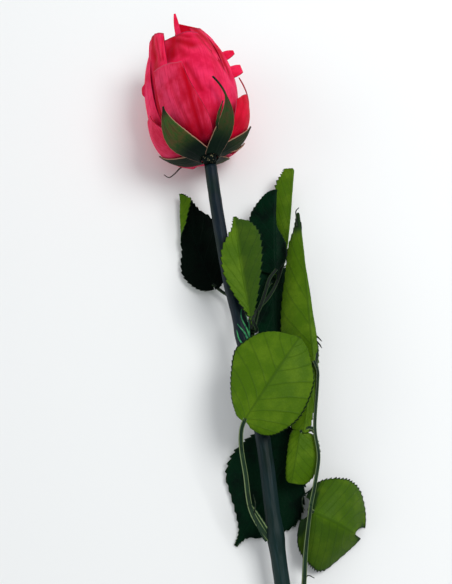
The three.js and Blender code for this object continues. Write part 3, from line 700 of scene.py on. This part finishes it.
# The torn strips: shreds of petal that split from the lips as the bud dried. They are the same
# waxy skin, still fixed at one end, and stand or curl clear of it.

STRIP_GRID = (30, 8)
STRIPS = (
    dict(centre=-18, width=1.5, turn=0, taper=0.7, route=((9.6, 60), (9.8, 68), (8.6, 77.3))),
    dict(centre=82, width=-3.2, turn=80, taper=0.65, route=((15, 51), (19, 52), (22.8, 52.6))),
    dict(centre=82, width=-4, turn=80, taper=0.35, route=((18, 41), (21.5, 41.6), (24.6, 42))),
    dict(centre=82, width=1.1, turn=0, taper=0.65, route=((23.8, 21), (24.1, 28), (22.3, 37))),
    dict(centre=29, width=-7.4, turn=0, taper=0.1, route=((1, 58), (4, 65.5), (7, 70.2))),
)


def arc(foot, bulge, end, u):
    """A place on the arc that leaves foot for bulge and bends round to end, and its direction."""
    place = (1 - u) ** 2 * foot + 2 * u * (1 - u) * bulge + u * u * end
    return place, ((1 - u) * (bulge - foot) + u * (end - bulge)).normalized()


def strip_surface(strip):
    foot, middle, end = (
        round_axis(radius, height, strip["centre"]) for radius, height in strip["route"]
    )
    bulge = 2 * middle - 0.5 * foot - 0.5 * end
    round_bud = round_axis(1, 0, strip["centre"] + 90)

    def surface(u, v):
        place, along = arc(foot, bulge, end, u)
        aside = Matrix.Rotation(math.radians(strip["turn"]), 3, along) @ round_bud
        return place + strip["width"] * (1 - strip["taper"] * u ** 3) * v * aside
    return surface


shreds = start_mesh()
for strip in STRIPS:
    surface = strip_surface(strip)
    sheet(shreds, *STRIP_GRID, lambda u, v: laid(surface(u, v)))
strips = piece_of("petal_strips", shreds, [petal_outside, petal_inside], PETAL_THICKNESS)
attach(strips, "root")
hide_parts("bloom")


# The leaflets: thin dry blades with saw-toothed margins, a stout midrib and side veins that arch
# forward. The upper face is glossy and nearly black green, and the underside a matt yellow green.
# Drying rolled and folded some of them, so that many lie with the underside up.

LEAF_THICKNESS = 0.4
LEAF_COLUMNS = 24
ROWS_PER_TOOTH = 8
UPPER_FACE = 0
UNDERSIDE = 1
# Face 3 is a near-black copy of the upper face: painted shade.
PAINTED_SHADE_FACE = 3
# A leaflet darkens at its dried tip, and on some with painted shade at the foot and over a half.
LEAF = dict(sway=0, roll=0, shows=UNDERSIDE, dry=(0.93, 1), foot_shade=None)
FLAT = dict(
    fold=0, curl=0, bend=(0.2, 1), crease=None, tight=0.7, start=0, lobe=0, lean=0, ahead=0,
    shade=0,
)
UPPER_LEAFLETS = (
    dict(
        LEAF, base=(-6, -86.4, 4), tip=(-14.1, -36.5, 5), rise=-1.6, sway=-1, roll=2, teeth=24,
        bite=0.9, veins=9, shows=PAINTED_SHADE_FACE,
        left=dict(
            FLAT, fold=-4, curl=172, tight=0.6, start=0.4, lobe=1.6, lean=1,
            crease=((0, 7.5), (50, 6), (66, 3.8), (84, 1.2), (100, 0.8)),
            edge=(
                (0, 0.4), (8, 4.6), (17, 8.2), (30, 11.3), (38, 10.2), (46, 7.6), (60, 8),
                (80, 7.9), (87, 4.2), (100, 0.3),
            ),
        ),
        right=dict(FLAT, fold=-2, curl=-6, lobe=2, lean=3, edge=(
            (0, 0.4), (6, 3), (20, 8), (40, 12.8), (51, 13.6), (61, 10.6), (67, 7.2), (79, 4.6),
            (100, 0.3),
        )),
    ),
    dict(
        LEAF, base=(6.8, -112.2, 26), tip=(7.9, -64.2, 29), rise=0.6, sway=-0.8, roll=-2, teeth=22,
        bite=1.2, veins=8,
        left=dict(FLAT, fold=20, curl=-14, lean=2, lobe=3, edge=(
            (0, 0.4), (14, 0.6), (28, 4.2), (40, 7.8), (50, 8.9), (59, 7.9), (70, 4), (77, 1.9),
            (100, 0.3),
        )),
        right=dict(FLAT, fold=24, curl=-22, lean=4, lobe=1, shade=0.55, edge=(
            (0, 0.4), (9, 0.9), (30, 6.4), (45, 10), (56, 11.2), (68, 10.2), (80, 6.4), (87, 2),
            (100, 0.3),
        )),
    ),
    dict(
        LEAF, base=(23.4, -87.4, 12), tip=(30.8, -47, 15.5), rise=1.4, sway=-0.5, teeth=22,
        bite=0.8, veins=9, shows=UPPER_FACE,
        left=dict(FLAT, fold=-22, curl=-16, lean=3, lobe=3, edge=(
            (0, 0.4), (12, 1.6), (15, 5.6), (20, 9.4), (32, 13.3), (45, 14.3), (62, 12.6),
            (76, 8.2), (90, 4), (100, 0.3),
        )),
        right=dict(
            FLAT, fold=-18, curl=-130, lobe=3,
            crease=((0, 0.4), (16, 2), (27, 5.8), (40, 5.8), (54, 1.2), (100, 0.4)),
            edge=((0, 0.4), (16, 3), (27, 10), (45, 11), (70, 6), (100, 0.3)),
        ),
    ),
    dict(
        LEAF, base=(28.6, -81.8, 8.6), tip=(41.4, -34.6, 10.5), rise=0.2, sway=0.8, teeth=20,
        bite=1.3, veins=8,
        left=dict(FLAT, fold=-6, curl=-14, lean=6, edge=(
            (0, 0.4), (24, 0.8), (30, 4), (42, 7.6), (63, 8), (77, 5.6), (88, 4.2), (100, 3.4),
        )),
        right=dict(
            FLAT, curl=-158, lean=2, tight=0.5,
            crease=((0, 0.6), (60, 0.7), (90, 1.2), (100, 0.6)),
            edge=((0, 0.4), (30, 4), (60, 6), (85, 3), (100, 0.3)),
        ),
    ),
    # This leaflet lies low between the others and is drawn wide, so that its dark upper face also
    # fills the dark gap up to the edge of the end leaflet of the right leaf: partly painted shade.
    dict(
        LEAF, base=(22.6, -80, 8.6), tip=(17, -125, 8), rise=0.6, teeth=18, bite=0.8, veins=7,
        shows=UPPER_FACE,
        left=dict(FLAT, fold=-10, edge=(
            (0, 3), (12, 6), (50, 9.6), (80, 6), (100, 0.3),
        )),
        right=dict(FLAT, fold=-10, edge=(
            (0, 3), (12, 5), (50, 9.6), (80, 6), (100, 0.3),
        )),
    ),
)
RIGHT_LEAFLETS = (
    dict(
        LEAF, base=(30.6, -135.1, 21.6), tip=(37.6, -64.3, 23), rise=0.8, sway=0.2, teeth=26,
        bite=0.8, veins=10, dry=(0.72, 0.8),
        left=dict(FLAT, fold=-20, curl=-46, edge=(
            (0, 0.4), (8, 6), (17, 11.5), (25, 15.2), (33, 16.3), (45, 14.5), (57, 11), (70, 7.6),
            (80, 3.4), (92, 1.2), (100, 0.3),
        )),
        right=dict(
            FLAT, curl=-150,
            crease=((0, 0.6), (11, 2.1), (26, 2.5), (45, 1.6), (66, 0.6), (100, 0.6)),
            edge=((0, 0.4), (11, 5), (30, 10), (55, 8), (80, 3), (100, 0.3)),
        ),
    ),
    dict(
        LEAF, base=(33.3, -126.2, 19.5), tip=(20.5, -164.2, 18.4), rise=0.6, teeth=16, bite=0.6,
        veins=7,
        left=dict(FLAT, fold=-4, edge=(
            (0, 0.4), (14, 1.8), (50, 3.3), (90, 2.4), (100, 0.3),
        )),
        right=dict(FLAT, fold=-12, curl=-30, edge=(
            (0, 0.4), (27, 2.4), (50, 4), (72, 5.7), (88, 5.6), (95, 1.4), (100, 0.3),
        )),
    ),
    dict(
        LEAF, base=(19.3, -163.1, 18), tip=(11.6, -183.6, 14.6), rise=1.2, teeth=13, bite=0.6,
        veins=6,
        left=dict(FLAT, fold=-6, curl=-30, edge=(
            (0, 6), (15, 8.4), (36, 10.6), (50, 11), (65, 10.4), (80, 8.6), (92, 6.6), (100, 5),
        )),
        right=dict(FLAT, fold=-16, curl=-60, bend=(0.5, 1), edge=(
            (0, 3.6), (25, 4.8), (50, 4.4), (85, 3), (94, 1.8), (100, 0.6),
        )),
    ),
    dict(
        LEAF, base=(19.4, -165, 9.5), tip=(-15.6, -204, 0.6), rise=-1, teeth=26, bite=1.2, veins=9,
        shows=UPPER_FACE,
        left=dict(FLAT, fold=-4, curl=-6, lobe=3, edge=(
            (0, 0.4), (15, 5), (33, 10.6), (46, 16.2), (54, 17.9), (63, 15), (68, 12.6), (74, 7.6),
            (80, 2.4), (100, 0.3),
        )),
        right=dict(FLAT, fold=-9, curl=10, lobe=3, edge=(
            (0, 0.4), (10, 8), (24, 16.2), (34, 20.4), (45, 22), (54, 20), (60, 15.2), (67, 9),
            (75, 3.6), (82, 1.4), (100, 0.3),
        )),
    ),
    dict(
        LEAF, base=(17.8, -196.2, 12.8), tip=(35.2, -208, 5.5), rise=4, teeth=22, bite=1.1, veins=8,
        foot_shade=(0.1, 0.2),
        left=dict(FLAT, fold=-10, curl=-16, lean=2, lobe=5, ahead=7, shade=0.25, edge=(
            (0, 5.7), (3, 8.9), (10, 12.3), (20, 16), (34, 19), (50, 20.8), (70, 19), (85, 13),
            (100, 5.5),
        )),
        right=dict(FLAT, fold=-14, curl=-14, lean=1, lobe=3.4, ahead=5, shade=0.4, edge=(
            (0, 5.3), (3, 8.3), (9, 12), (20, 16.8), (35, 20), (54, 21.7), (64, 21.7), (74, 19),
            (85, 10), (100, 0.4),
        )),
    ),
)
LEFT_LEAFLETS = (
    dict(
        LEAF, base=(-4.1, -156.4, 27), tip=(25.7, -125.2, 29), rise=1.4, teeth=30, bite=0.6,
        veins=9,
        left=dict(FLAT, fold=-5, curl=-22, lobe=0.4, edge=(
            (0, 0.6), (6, 3.6), (13, 6), (23, 10.5), (41, 17.8), (53, 21.4), (62, 20.2), (74, 16.4),
            (84, 10.4), (91, 4), (100, 0.8),
        )),
        right=dict(FLAT, fold=-5, curl=-18, lobe=1.2, lean=-1, edge=(
            (0, 4), (4, 8.2), (14, 12.8), (25, 16.2), (39, 19), (52, 18.6), (66, 15.8), (75, 11.3),
            (86, 6), (95, 1.6), (100, 0.4),
        )),
    ),
)


def level(table, row):
    """A half width in millimetres, on the smooth line through a table that gives it at places in
    hundredths of the leaflet's length."""
    place = 100 * row
    index = max(0, min(bisect_right([pair[0] for pair in table], place), len(table) - 1) - 1)
    (start, low), (end, high) = table[index], table[index + 1]
    before, after = table[max(index - 1, 0)], table[min(index + 2, len(table) - 1)]
    width = end - start
    leave = (high - before[1]) / (end - before[0]) * width
    arrive = (after[1] - low) / (after[0] - start) * width
    share = min(1, max(0, (place - start) / width))
    swing = leave * share * (1 - share) ** 2 - arrive * share * share * (1 - share)
    return low + (high - low) * smooth_step(share, 0, 1) + swing


def half_section(distance, half, start, end, angle):
    """A leaf half in section, in millimetres: straight, then a bend, then straight again."""
    fold = math.radians(half["fold"])
    if distance <= start or abs(angle) < 1e-6:
        return distance * math.cos(fold), distance * math.sin(fold), fold
    slope = fold + math.radians(angle) * min(1, (distance - start) / (end - start))
    radius = (end - start) / math.radians(angle)
    past = max(0, distance - end)
    aside = radius * (math.sin(slope) - math.sin(fold)) + past * math.cos(slope)
    up = radius * (math.cos(fold) - math.cos(slope)) + past * math.sin(slope)
    return start * math.cos(fold) + aside, start * math.sin(fold) + up, slope


def vein_relief(leaf, row, share, width):
    """How deep the veins and the quilting between them press the upper face in, in millimetres."""
    midrib = 0.26 * math.exp(-((share * width / 0.5) ** 2)) * (1 - 0.5 * row)
    phase = leaf["veins"] * (row - 0.3 * share + 0.08 * share * share)
    beside = abs(phase - round(phase)) * 2
    side_veins = 0.06 * (1 - min(1, beside * 2.6)) ** 2 * (1 - share ** 4)
    return midrib + side_veins - 0.08 * beside * share


def leaflet_place(leaf, row, v, width):
    """A place on a leaflet, and its normal, where the half of the blade is that wide."""
    base, tip = Vector(leaf["base"]), Vector(leaf["tip"])
    chord = (tip - base).normalized()
    crown = (base + tip) / 2 + 2 * leaf["sway"] * chord.cross(Vector((0, 0, 1)))
    crown.z += 2 * leaf["rise"]
    u = (1 - math.cos(math.pi * row)) / 2
    place, along = arc(base, crown, tip, u)
    side = along.cross(Vector((0, 0, 1))).normalized()
    face = side.cross(along)
    roll = Matrix.Rotation(math.radians(leaf["roll"]), 3, along)
    side.rotate(roll)
    face.rotate(roll)
    half = leaf["left"] if v < 0 else leaf["right"]
    share = abs(v)
    if half["crease"]:
        start = max(0.1, level(half["crease"], row) - half["tight"])
        end = start + 2 * half["tight"]
    else:
        start, end = (limit * width for limit in half["bend"])
    strength = smooth_step(row, half["start"], half["start"] + 0.24) if half["start"] else 1
    aside, up, slope = half_section(share * width, half, start, end, half["curl"] * strength)
    outward = side if v > 0 else -side
    place += aside * outward + up * face
    shift = 4 * half["lean"] * u * (1 - u) - half["lobe"] * (1 - u) ** 4 + half["ahead"] * u ** 4
    place += share * share * shift * along
    return place, math.cos(slope) * face - math.sin(slope) * outward


def leaflet_surface(leaf):
    raised = 1 if leaf["shows"] == UNDERSIDE else -1

    def surface(row, v):
        half = leaf["left"] if v < 0 else leaf["right"]
        share = abs(v)
        tooth = (leaf["teeth"] * row) % 1
        saw = leaf["bite"] * (tooth - 0.5) * share ** 12
        width = max(0.3, level(half["edge"], row) + saw)
        place, normal = leaflet_place(leaf, row, v, width)
        wave = 0.35 * share * noise.noise(Vector((3 * row, 2 * v, leaf["base"][1])))
        return place + (raised * vein_relief(leaf, row, share, width) + wave) * normal
    return surface


def leaf_finish(name, blade, vein, mark, rim, gloss, raised):
    """Leaf skin with a midrib, arching side veins and the fine net between them."""
    made, nodes = start_finish(name, gloss)
    where = own_map(nodes)
    share = abs((part_of(where, "X") - 0.5) * 2)
    clouds = cloud(nodes, 130)
    phase = (part_of(where, "Y") - share * 0.3 + share * share * 0.08) * 9 + clouds * 0.2
    side_vein = between(abs(phase.maths("FRACT", phase) - 0.5), 0.4, 0.5)
    mid_vein = 1 - between(share, 0.01, 0.05)
    fine = {"Vector": object_place(nodes), "Scale": 900}
    net = nodes.node("ShaderNodeTexVoronoi", {"feature": "DISTANCE_TO_EDGE"}, fine)
    net_line = 1 - between(net, 0.0, 0.12)
    lines = greater(side_vein * 0.8, mid_vein)
    skin = mixed(between(clouds, 0.4, 0.72), blade, mark)
    skin = mixed(greater(lines * 0.4, net_line * 0.12), skin, vein)
    skin = mixed(between(share + clouds * 0.04, 0.975, 1.0), skin, rim)
    # Dried tips darken toward this green, and so does painted shade at the foot and over some
    # halves.
    skin = mixed(dryness_and_shade_of(nodes) * 0.9, skin, tint(16, 38, 20))
    end_finish(made, {
        "Base Color": skin,
        "Roughness": 0.4 + clouds * 0.14,
        "Normal": relief(lines * raised + net_line * raised * 0.4, 0.00025, 0.5),
    })
    return made


DARK_MARGIN = tint(14, 34, 12)
leaf_upper = leaf_finish(
    "leaf_upper_face", tint(1, 30, 14), tint(2, 34, 20), tint(1, 14, 8), DARK_MARGIN, 0.04, -1.0,
)
leaf_under = leaf_finish(
    "leaf_underside", tint(64, 96, 6), tint(28, 56, 6), tint(80, 110, 14), DARK_MARGIN, 0.06, 1.0,
)
# A near-black copy of the upper face: painted shade, worn by the low leaflet beside the stem.
leaf_painted_shade = leaf_finish(
    "leaf_upper_face_painted_shade", tint(1, 8, 4), tint(2, 16, 10), tint(1, 3, 2), tint(1, 6, 3), 0.02, -1.0,
)
LEAF_FACES = [leaf_upper, leaf_under, leaf_upper, leaf_painted_shade, leaf_under]


def dried_and_shaded(leaf, row, v):
    """How dark a leaflet is there, from 0 to 1: dried at its tip, with painted shade at the foot of
    one and over a side of some.
    """
    ragged = row + 0.03 * noise.noise(Vector((0, 6 * v, 0)))
    shade_at_foot = 1 - smooth_step(ragged, *leaf["foot_shade"]) if leaf["foot_shade"] else 0
    half = leaf["left"] if v < 0 else leaf["right"]
    # Painted shade over a whole half, from the midrib out.
    beside = half["shade"] * smooth_step(abs(v), 0, 0.15)
    return max(smooth_step(ragged, *leaf["dry"]), shade_at_foot, beside)


def leaflets_of(name, leaflets, node):
    grown = start_mesh()
    for leaf in leaflets:
        sheet(
            grown, ROWS_PER_TOOTH * leaf["teeth"], LEAF_COLUMNS, leaflet_surface(leaf),
            leaf["shows"], lambda row, v: dried_and_shaded(leaf, row, v),
        )
    made = piece_of(name, grown, LEAF_FACES, LEAF_THICKNESS)
    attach(made, "root")
    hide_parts(node)


leaflets_of("upper_leaflets", UPPER_LEAFLETS, "upper_leaf")
leaflets_of("right_leaflets", RIGHT_LEAFLETS, "right_leaf")
leaflets_of("left_leaflets", LEFT_LEAFLETS, "left_leaf")


# The leaf stalks: wiry round stalks that carry the leaflets, with a pair of thin wings, the
# stipules, at the foot of each where it joins the stem. They are grey green and a little furrowed.

STALK_SIDES = 20
STALK_STEPS = 12
WING_GRID = (45, 12)
WING_THICKNESS = 0.35
UPPER_STALKS = (
    (1.1, 0.8, (
        (2.6, -120, 19), (7.4, -112.5, 18), (13.1, -103.5, 14.6), (17, -96, 12.8), (20, -90, 12),
        (24, -86, 12),
    )),
    (0.9, 0.8, ((13.1, -103.5, 14.4), (17.4, -99.5, 12.6), (22.4, -93, 10.4), (28.8, -81, 9))),
    (0.9, 0.7, (
        (9.5, -109.5, 16.8), (5.4, -103, 9.6), (2.6, -95, 5.4), (-2, -90, 3.4), (-6.2, -85.4, 3.9),
    )),
    (0.9, 0.8, ((5.6, -115.5, 18.6), (8.6, -117, 22.4), (7.6, -114, 25.4), (6.9, -111, 26))),
    (0.8, 0.7, ((17.8, -94.4, 12.7), (20.2, -92, 11), (21, -91.6, 8.8))),
)
RIGHT_STALKS = (
    (1.2, 0.85, (
        (1.6, -246, 9), (6, -237.5, 9.2), (9.4, -224.2, 9.8), (12.8, -210.4, 12), (18, -194, 14.2),
    )),
    (0.85, 0.7, (
        (18, -194, 14.2), (21.9, -184.4, 15.6), (25, -174.8, 17.6), (25.6, -163.6, 18.6),
        (30.4, -145, 20), (31.6, -139, 21.2), (30.8, -134.6, 21.8),
    )),
    (0.9, 0.7, ((31.2, -137, 21), (33, -131, 21.4), (33.6, -127, 20.4), (33.2, -126.4, 19.6))),
    (0.9, 0.7, ((25.6, -163.6, 18.5), (23.2, -162.4, 18.2), (19.2, -163.6, 18))),
    (0.9, 0.8, ((25.4, -164.6, 18), (24.6, -162.6, 14), (22, -162.8, 10.4), (18.6, -166, 9.4))),
    (1.1, 0.8, ((17.4, -195.6, 14), (17.6, -196, 13.2), (18.8, -196.8, 13.2))),
)
LEFT_STALKS = (
    (1.15, 0.95, (
        (0.8, -208, 12), (-3.4, -201.5, 13.2), (-7.1, -191.8, 15.2), (-7, -177.6, 18.4),
        (-6.9, -165.5, 22.4), (-5.6, -159.4, 25.6), (-3.4, -155.6, 27),
    )),
)
STIPULES = {
    "upper_leaf": dict(base=(4.6, -117.6, 18.9), tip=(10.4, -107.6, 17.6), width=2.4),
    "right_leaf": dict(base=(3.6, -242.6, 9.2), tip=(8.8, -228, 10.2), width=1.9),
    "left_leaf": dict(base=(-1.6, -204.6, 12.6), tip=(-6.6, -191.6, 15.6), width=1.9),
}


def stipule_surface(stipule):
    base, tip = Vector(stipule["base"]), Vector(stipule["tip"])
    along = tip - base
    side = along.cross(Vector((0, 0, 1))).normalized()

    def surface(u, v):
        fringe = 0.35 * abs(v) ** 6 * ((9 * u) % 1)
        width = max(0.3, stipule["width"] * math.cos(1.45 * u) ** 0.6) + fringe
        place = base + u * (1 + 0.18 * abs(v)) * along + width * v * side
        place.z += 0.35 * width * abs(v)
        return place
    return surface


def stalk_finish(name, light, deep, streak, highlight_tint):
    """Dry green bark, with painted highlights as two pale lines along it."""
    made, nodes = start_finish(name, 0.15)
    grain = cloud(nodes, 1400, 4, place=object_place(nodes, (1, 0.12, 1)))
    patches = cloud(nodes, 200)
    around = part_of(own_map(nodes), "X")
    bark = mixed(between(patches, 0.4, 0.65), light, deep)
    bark = mixed(between(grain, 0.52, 0.72) * 0.3, bark, streak)
    # Painted highlights: two pale lines along the upper flanks, one on each side of the channel.
    for highlight_line in (0.58, 0.92):
        beside = abs(around - highlight_line + patches * 0.03)
        bark = mixed(between(beside, 0.06, 0.025) * 0.65, bark, highlight_tint)
    end_finish(made, {
        "Base Color": bark,
        "Roughness": 0.45 + grain * 0.2,
        "Normal": relief(grain, 0.0003, 0.5),
    })
    return made


stalk_skin = stalk_finish(
    "stalk_skin", tint(18, 44, 26), tint(8, 32, 18), tint(70, 92, 54), tint(140, 160, 106),
)
shaded_stalk_skin = stalk_finish(
    "shaded_stalk_skin", tint(6, 20, 12), tint(2, 14, 8), tint(24, 40, 24), tint(58, 84, 44),
)


def stalk_radius(foot, end, share, turn):
    channel = 0.35 * math.exp(-(((turn - 1.5 * math.pi) / 0.4) ** 2))
    return (foot + (end - foot) * share) * (1 - channel)


def stalks_of(name, stalks, node, skin):
    grown = start_mesh()
    for foot, end, route in stalks:
        rod(
            grown, route, lambda share, turn: stalk_radius(foot, end, share, turn),
            STALK_SIDES, STALK_STEPS * len(route),
        )
    wings = start_mesh()
    sheet(wings, *WING_GRID, stipule_surface(STIPULES[node]))
    pair = (
        piece_of(name, grown, [skin]), piece_of(name + "_wings", wings, [skin], WING_THICKNESS),
    )
    for made in pair:
        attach(made, "root")
        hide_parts(node)


stalks_of("upper_stalks", UPPER_STALKS, "upper_leaf", shaded_stalk_skin)
stalks_of("right_stalks", RIGHT_STALKS, "right_leaf", stalk_skin)
stalks_of("left_stalks", LEFT_STALKS, "left_leaf", stalk_skin)


# The withered threads: bits of sepal, leaf tip and stipule that dried to dark, curled hairs. Each
# grew from the piece that it hangs on. The frayed stipule on the stem stayed bright green.

THREAD_SIDES = 8
THREAD_STEPS = 10
THREADS = (
    ("calyx", 0.45, 0.2, (
        (-9, -24, 11), (-12.4, -24.6, 9), (-15.6, -26.6, 7.6), (-18.4, -27.4, 6.6),
        (-20.6, -25.2, 6),
    )),
    ("right_leaf", 0.5, 0.2, (
        (35.8, -71, 23), (36.4, -67, 23.4), (36.7, -63.8, 24.4), (38.2, -62.8, 25.4),
    )),
    ("right_leaf", 0.5, 0.2, ((35.6, -76, 22.6), (37.6, -72.4, 22.6), (38, -69.2, 23.4))),
    ("right_leaf", 0.7, 0.15, ((33, -122.6, 20.6), (35, -124, 20.2), (36.4, -126, 19.8))),
    ("right_leaf", 0.7, 0.15, ((33, -124.8, 20.2), (34.8, -126.8, 20), (35.8, -129, 19.6))),
    ("right_leaf", 0.4, 0.15, (
        (19.4, -188, 14.6), (17.6, -188.6, 14), (15.6, -190, 12.6), (14.8, -192.6, 12),
        (15.2, -195.4, 11.8),
    )),
    ("right_leaf", 0.4, 0.15, ((8.6, -226, 9.8), (11.6, -221.2, 9.6), (14.2, -222.6, 9))),
    ("left_leaf", 0.35, 0.15, ((-6.4, -194, 15.4), (-5, -190, 16.4), (-5.2, -185.8, 16.6))),
)
FRAYED = (
    ("upper_leaf", 0.6, 0.2, ((4.4, -123, 21), (3.4, -118, 22.8), (0.8, -112.6, 22.2))),
    ("upper_leaf", 0.5, 0.2, (
        (5, -121, 20.4), (4.6, -116, 22.2), (3, -110, 22.6), (3.6, -106.4, 22.8),
    )),
    ("upper_leaf", 0.5, 0.2, ((2.2, -123.6, 22.2), (0.4, -119.6, 22.2), (0, -115, 21.6))),
    ("upper_leaf", 0.4, 0.15, ((5, -119, 20.8), (5.8, -113.6, 21.6), (5.2, -109, 22))),
)

thread_skin, nodes = start_finish("thread_skin", 0.1, {"Roughness": 0.8})
flecks = between(cloud(nodes, 700), 0.4, 0.7)
end_finish(thread_skin, {"Base Color": mixed(flecks, tint(14, 26, 22), tint(52, 62, 44))})

frayed_skin, nodes = start_finish("frayed_skin", 0.2, {"Roughness": 0.6})
flecks = between(cloud(nodes, 500), 0.4, 0.6)
end_finish(frayed_skin, {"Base Color": mixed(flecks, tint(16, 92, 62), tint(60, 140, 84))})

for index, (node, foot, end, route) in enumerate(THREADS + FRAYED):
    hair = start_mesh()
    steps = THREAD_STEPS * len(route)
    rod(hair, route, lambda share, turn: foot + (end - foot) * share, THREAD_SIDES, steps)
    skin = thread_skin if index < len(THREADS) else frayed_skin
    thread = piece_of(f"thread_{index + 1}", hair, [skin])
    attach(thread, "root")
    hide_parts(node)


# The set: a plain near-white table in a pale room, a large soft lamp above on the right, a weak
# one beyond the bloom, and the glow of a wall on the left. The camera looks down at the rose
# from its foot, at the photograph's angle.

TABLE_REACH = 2
TABLE_DROP = 0.0002
NEAR_WHITE = (0.81, 0.82, 0.82, 1)
table = start_finish("table_top", 0.5, {"Roughness": 0.85, "Base Color": NEAR_WHITE})[0]
plane = bmesh.new()
bmesh.ops.create_grid(plane, x_segments=1, y_segments=1, size=TABLE_REACH)
bmesh.ops.translate(plane, verts=plane.verts, vec=(0, 0, -TABLE_DROP))
mesh = bpy.data.meshes.new("table_top")
plane.to_mesh(mesh)
plane.free()
mesh.materials.append(table)
floor = placed("table_top", mesh)

world = bpy.data.worlds.new("room")
world.use_nodes = True
backdrop = world.node_tree.nodes["Background"].inputs
backdrop["Color"].default_value = (0.94, 0.97, 1.0, 1)
backdrop["Strength"].default_value = 0.5
bpy.context.scene.world = world


def aimed(name, data, place, target):
    """Stands a lamp or the camera at a place, and turns it towards the target."""
    made = placed(name, data)
    made.location = place
    made.rotation_euler = (Vector(target) - Vector(place)).to_track_quat("-Z", "Y").to_euler()
    return made


def lamp(name, kind, place, target, power, shade):
    light = bpy.data.lights.new(name, kind)
    light.energy = power
    light.color = shade
    aimed(name, light, place, target)
    return light


warm_white = (1, 1, 0.99)
key_lamp = lamp("key_lamp", "AREA", (0.5, 0, 0.9), (0, -0.1, 0), 7, warm_white)
key_lamp.size = 0.5
top_lamp = lamp("top_lamp", "AREA", (0, 0.7, 0.6), (0, -0.1, 0), 1.2, (0.97, 0.99, 1))
top_lamp.size = 0.6
wall_glow = lamp("wall_glow", "SUN", (-1, 0.1, 0.32), (0, 0, 0), 0.9, warm_white)
wall_glow.angle = math.radians(50)

CAMERA_PLACE = MM * Vector((-23.386, -225.169, 379.742))
LOOKS_AT = MM * Vector((-0.336, -88.89, 0))
HALF_VIEW = math.radians(19)
lens = bpy.data.cameras.new("camera")
lens.sensor_fit = "VERTICAL"
lens.sensor_height = 24
lens.lens = lens.sensor_height / 2 / math.tan(HALF_VIEW)
lens.clip_start = 0.01
bpy.context.scene.camera = aimed("camera", lens, CAMERA_PLACE, LOOKS_AT)
bpy.context.scene.view_settings.view_transform = "Standard"
